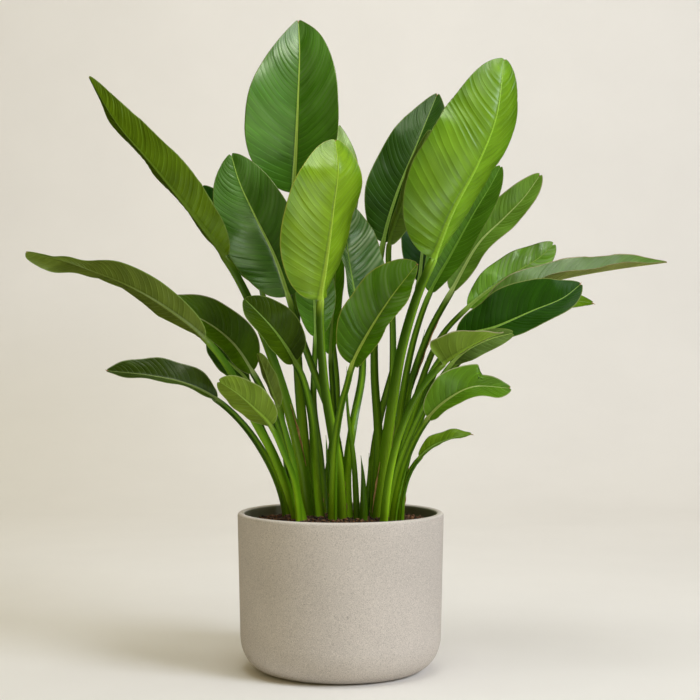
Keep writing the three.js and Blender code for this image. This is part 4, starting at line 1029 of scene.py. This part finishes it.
class PLANT_OT_add_stage(bpy.types.Operator):
    """Add the floor, backdrop, soft lights and camera"""

    bl_idname = "plant.add_stage"
    bl_label = "Add Stage"

    def execute(self, context):
        settings = context.scene.plant_stage
        self.add_sweep(settings)
        self.add_camera(context.scene)
        key, top, backdrop = settings.key_power, settings.top_power, settings.backdrop_power
        self.add_light("key_light", (6.2, -4.3, 4.9), (0, 0.3, 0.5), 3.8, key, (0.89, 0.955, 1.13))
        self.add_light("top_light", (0.0, -0.7, 3.3), (0, 0, 0.6), 1.8, top, (0.95, 0.98, 1.0))
        self.add_light("backdrop_light", (0.3, 1.3, 2.9), (-2.0, 3.9, 1.4), 1.2, backdrop, (1.0, 0.98, 0.96))
        high, front = settings.high_gleam, settings.front_gleam
        self.add_light("high_gleam", (0.4, -1.75, 2.8), (0, 0, 0.8), 1.2, high, (1.0, 1.0, 0.86), True)
        self.add_light("front_gleam", (0.8, -2.9, 0.4), (0, 0, 0.6), 1.7, front, (0.92, 1.0, 0.6), True)
        low_share = 0.35
        self.add_light("low_gleam", (-0.05, -1.6, 0.1), (0, 0, 0.65), 0.6, low_share * front,
                       (0.88, 1.0, 0.85), True)
        self.add_air(context.scene, settings)
        context.scene.view_settings.view_transform = "Standard"
        context.scene.view_settings.look = "None"
        return {"FINISHED"}

    def add_air(self, scene, settings):
        """Even light from all round, which isn't mirrored, and the room's colour beyond the backdrop."""
        world = bpy.data.worlds.new("studio_air")
        scene.world = world
        world.use_nodes = True
        nodes, links = world.node_tree.nodes, world.node_tree.links
        fill = nodes["Background"]
        fill.inputs["Color"].default_value = (1.03, 0.84, 0.42, 1)
        fill.inputs["Strength"].default_value = settings.sky
        room = nodes.new("ShaderNodeBackground")
        room.inputs["Color"].default_value = linear(settings.room_colour)
        seen = nodes.new("ShaderNodeMixShader")
        links.new(nodes.new("ShaderNodeLightPath").outputs["Is Camera Ray"], seen.inputs[0])
        links.new(fill.outputs[0], seen.inputs[1])
        links.new(room.outputs[0], seen.inputs[2])
        links.new(seen.outputs[0], nodes["World Output"].inputs["Surface"])
        world.cycles_visibility.glossy = False

    def add_sweep(self, settings):
        """One sheet that runs from the floor up into the backdrop without an edge."""
        front, back, bend, top, half_width = -3900, 3900, 1800, 4800, 6500
        turn = np.radians(np.linspace(-90, 0, 49))
        curve = np.stack([back - bend + bend * np.cos(turn), bend + bend * np.sin(turn)], -1)
        line = np.concatenate([[[front, 0]], curve, [[back, top]]])
        points = [(x, y, z) for y, z in line for x in (-half_width, half_width)]
        faces = [[2 * i, 2 * i + 1, 2 * i + 3, 2 * i + 2] for i in range(len(line) - 1)]
        sweep = add_mesh("studio_sweep", points, faces, {}, stage_material(settings.floor_colour))
        sweep.visible_glossy = False

    def add_camera(self, scene):
        """The camera at the eye of the front elevation, level and looking along +Y."""
        camera = bpy.data.cameras.new("front_camera")
        camera.sensor_width = SENSOR
        camera.lens = SENSOR * EYE_DISTANCE / FRAME_WIDTH
        stand = bpy.data.objects.new("front_camera", camera)
        stand.location = (EYE_X * MM, -EYE_DISTANCE * MM, EYE_Z * MM)
        stand.rotation_euler = (math.radians(90), 0, 0)
        scene.collection.objects.link(stand)
        scene.camera = stand

    def add_light(self, name, place, aim, size, power, colour, only_gloss=False):
        """A round soft light that faces a point. One with only_gloss lights nothing and is just mirrored."""
        light = bpy.data.lights.new(name, "AREA")
        light.shape = "DISK"
        light.size = size
        light.energy = power
        light.color = colour
        lamp = bpy.data.objects.new(name, light)
        lamp.location = place
        toward = np.subtract(aim, place)
        lamp.rotation_euler = (math.atan2(math.hypot(toward[0], toward[1]), -toward[2]), 0,
                               math.atan2(-toward[0], toward[1]))
        lamp.visible_camera = False
        lamp.visible_diffuse = lamp.visible_transmission = not only_gloss
        bpy.context.scene.collection.objects.link(lamp)


class PLANT_OT_add_pot(bpy.types.Operator):
    """Add the round planter with its speckled matte finish"""

    bl_idname = "plant.add_pot"
    bl_label = "Add Pot"

    def execute(self, context):
        material = pot_material(context.scene.plant_pot.colour)
        pot = lathe("planter", pot_profile(), POT_SIDES, material)
        keep_on_plant(pot, "pot", "pot")
        return {"FINISHED"}


class PLANT_OT_add_soil(bpy.types.Operator):
    """Add the soil with its crumbs and chips of bark"""

    bl_idname = "plant.add_soil"
    bl_label = "Add Soil"

    def execute(self, context):
        settings = context.scene.plant_soil
        draw = np.random.default_rng(SOIL_SEED)
        self.add_mix(draw)
        reach = SOIL_RADIUS - CRUMB_MARGIN
        crumb = soil_material("soil_crumb", "#241307", "#8a5c34", "tint")
        chip = soil_material("bark_chip", "#523420", "#9c7048", "tint")
        for name, number, sizes, material in (("soil_crumbs", settings.crumbs, (1.2, 3.2), crumb),
                                              ("bark_chips", settings.bark, (1.4, 4.2), chip)):
            piece = add_mesh(name, *crumbs(number, sizes, draw, reach), material)
            keep_on_plant(piece, "soil")
        return {"FINISHED"}

    def add_mix(self, draw):
        """The body of potting mix, with a rough surface that lies a little under the crumbs."""
        bottom = POT_FLOOR + FIT_GAP
        foot = POT_RADIUS - POT_TAPER - POT_WALL - FIT_GAP
        corner = arc((foot - CORNER_WIDTH, bottom + CORNER_HEIGHT), (CORNER_WIDTH, CORNER_HEIGHT), -90, 0, 6)
        shares = np.linspace(1, 0.01, SOIL_RINGS)
        profile = [(0.0, bottom)] + corner.tolist() + [(SOIL_RADIUS * share, SOIL_EDGE) for share in shares]
        profile += [(0.0, SOIL_EDGE + SOIL_RISE)]
        material = soil_material("potting_mix", "#1c0f06", "#5e3a1e")
        soil = lathe("potting_soil", np.array(profile), SOIL_SIDES, material)
        count = len(soil.data.vertices)
        points = np.empty(count * 3, dtype=np.float32)
        soil.data.vertices.foreach_get("co", points)
        points = points.reshape(-1, 3) / MM
        surface = points[:, 2] > SOIL_EDGE - 0.5
        grain = draw.normal(0, SOIL_GRAIN, count)
        points[surface, 2] = soil_height(points[:, 0], points[:, 1])[surface] + grain[surface] - SOIL_SINK
        soil.data.vertices.foreach_set("co", (points * MM).ravel())
        soil.data.update()
        keep_on_plant(soil, "soil", "soil")


class PLANT_OT_add_leaves(bpy.types.Operator):
    """Add every leaf with its stalk, midrib, side veins and pleats"""

    bl_idname = "plant.add_leaves"
    bl_label = "Add Leaves"

    def execute(self, context):
        settings = context.scene.plant_leaves
        sizes = dict(vein_spacing=settings.vein_spacing / MM, thickness=settings.thickness / MM,
                     pleat=settings.pleat)
        spurs = []
        for seed, leaf in enumerate(LEAVES, FIRST_SEED):
            spine = spine_of(leaf)
            rings, maps = leaf_skin(leaf, spine, sizes, np.random.default_rng(seed))
            material = leaf_material(leaf, settings.stalk_base, settings.stalk_top)
            maps = {key: values.reshape(-1, 2) for key, values in maps.items()}
            piece = add_mesh(leaf["name"] + "_grown", *join_tubes([rings]), maps, material)
            keep_on_plant(piece, "leaf_" + leaf["tone"], leaf["name"])
            if leaf["spur"]:
                spurs.append(self.spur(leaf, spine, 1 if seed % 2 else -1))
        dry = dry_material()
        tips = add_mesh("dry_tips", *join_tubes(spurs), {}, dry)
        keep_on_plant(tips, "leaf_dusky")
        strips = [self.dry_margin(*margin) for margin in DRY_MARGINS]
        margins = add_mesh("dry_margins", *join_tubes(strips), {}, dry)
        keep_on_plant(margins, "leaf_dusky")
        return {"FINISHED"}

    def dry_margin(self, name, toward, low, high, width):
        """A dried strip along one edge of a stalk's sheath, between two heights."""
        leaf = next(leaf for leaf in LEAVES if leaf["name"] == name)
        spine = spine_of(leaf)
        stalk = spine.lengths <= spine.collar
        rows, sides = 40, 10
        share = np.linspace(0, 1, rows)
        length = np.interp(low + (high - low) * share, spine.points[stalk, 2], spine.lengths[stalk])
        roll = np.full(rows, math.radians(leaf["roll"][0]))
        middle, _, to_side, up = spine.frame(length, roll)
        radius = stalk_radius(leaf, spine.grown(length))
        edge = to_side * np.sign(to_side[0, 0]) * toward
        wide = width * np.sin(math.pi * np.clip(share, 0.02, 0.98)) ** 0.7 * (1 + 0.25 * np.sin(share * 23))
        place = middle + edge * (radius + 0.2 * wide)[:, None] - up * (0.35 * radius)[:, None]
        turn = turns(sides)
        curled = edge - up * np.sin(share * 9)[:, None] * 0.4
        out = curled[:, None] * (np.cos(turn)[:, None] * wide[:, None, None])
        return place[:, None] + out + up[:, None] * (np.sin(turn)[:, None] * STRIP_THICKNESS)

    def spur(self, leaf, spine, toward):
        """The dried point at a leaf's tip, curled right and down (toward = 1) or left and up (-1)."""
        rows = 9
        share = np.linspace(0, 1, rows)
        end = spine.total - leaf["notch"]
        start, before = spine.at(end - 1), spine.at(end - 4)
        ahead = (start - before) / np.linalg.norm(start - before)
        curl = np.array([0.25, 0.0, -0.35]) * toward
        path = start + np.outer(share * leaf["spur"], ahead) + np.outer(share ** 2 * leaf["spur"], curl)
        radii = SPUR_RADIUS * (1 - share) ** 0.7 + SPUR_END
        return keep_inside(tapered_tube(path, radii, sides=8))


class PLANT_OT_add_shoots(bpy.types.Operator):
    """Add the young leaves that are still rolled up"""

    bl_idname = "plant.add_shoots"
    bl_label = "Add Shoots"

    def execute(self, context):
        material = shoot_material()
        rows, sides = 70, 24
        turn = turns(sides)
        for spear in SPEARS:
            spine = Spine(spear["root"], spear["path"], 1)
            t = np.linspace(0, 1, rows) ** 0.8
            middle, _, to_side, up = spine.frame(t * spine.total, np.zeros(rows))
            radius = spear["half"] * np.maximum(1 - t ** 2.2, 0.06)
            lap = (turn[None] / (2 * math.pi) + 1.4 * t[:, None]) % 1
            radius = radius[:, None] * (0.93 + 0.07 * lap)
            around = to_side[:, None] * np.cos(turn)[:, None] - up[:, None] * np.sin(turn)[:, None]
            rings = middle[:, None] + around * radius[..., None]
            piece = add_mesh(spear["name"] + "_grown", *join_tubes([rings]), {}, material)
            keep_on_plant(piece, "leaf_fresh", spear["name"])
        return {"FINISHED"}


class PLANT_PT_sidebar(bpy.types.Panel):
    """The pieces of the plant, in the order they are added, and their settings"""

    bl_label = "Bird of Paradise"
    bl_idname = "PLANT_PT_sidebar"
    bl_space_type = "VIEW_3D"
    bl_region_type = "UI"
    bl_category = "Plant"

    def draw(self, context):
        for operator in OPERATORS:
            self.layout.operator(operator.bl_idname)
        for name, group in SETTINGS.items():
            for setting in group.__annotations__:
                self.layout.prop(getattr(context.scene, name), setting)


SETTINGS = {
    "plant_stage": StageSettings,
    "plant_pot": PotSettings,
    "plant_soil": SoilSettings,
    "plant_leaves": LeafSettings,
}
OPERATORS = (
    PLANT_OT_add_stage,
    PLANT_OT_add_pot,
    PLANT_OT_add_soil,
    PLANT_OT_add_leaves,
    PLANT_OT_add_shoots,
)


def register():
    for part in (*SETTINGS.values(), *OPERATORS, PLANT_PT_sidebar):
        bpy.utils.register_class(part)
    for name, group in SETTINGS.items():
        setattr(bpy.types.Scene, name, bpy.props.PointerProperty(type=group))


def unregister():
    for name in SETTINGS:
        delattr(bpy.types.Scene, name)
    for part in (PLANT_PT_sidebar, *reversed(OPERATORS), *reversed(SETTINGS.values())):
        bpy.utils.unregister_class(part)


def main():
    register()
    bpy.ops.plant.add_stage()
    bpy.ops.plant.add_pot()
    bpy.ops.plant.add_soil()
    bpy.ops.plant.add_leaves()
    bpy.ops.plant.add_shoots()


if __name__ == "__main__":
    main()
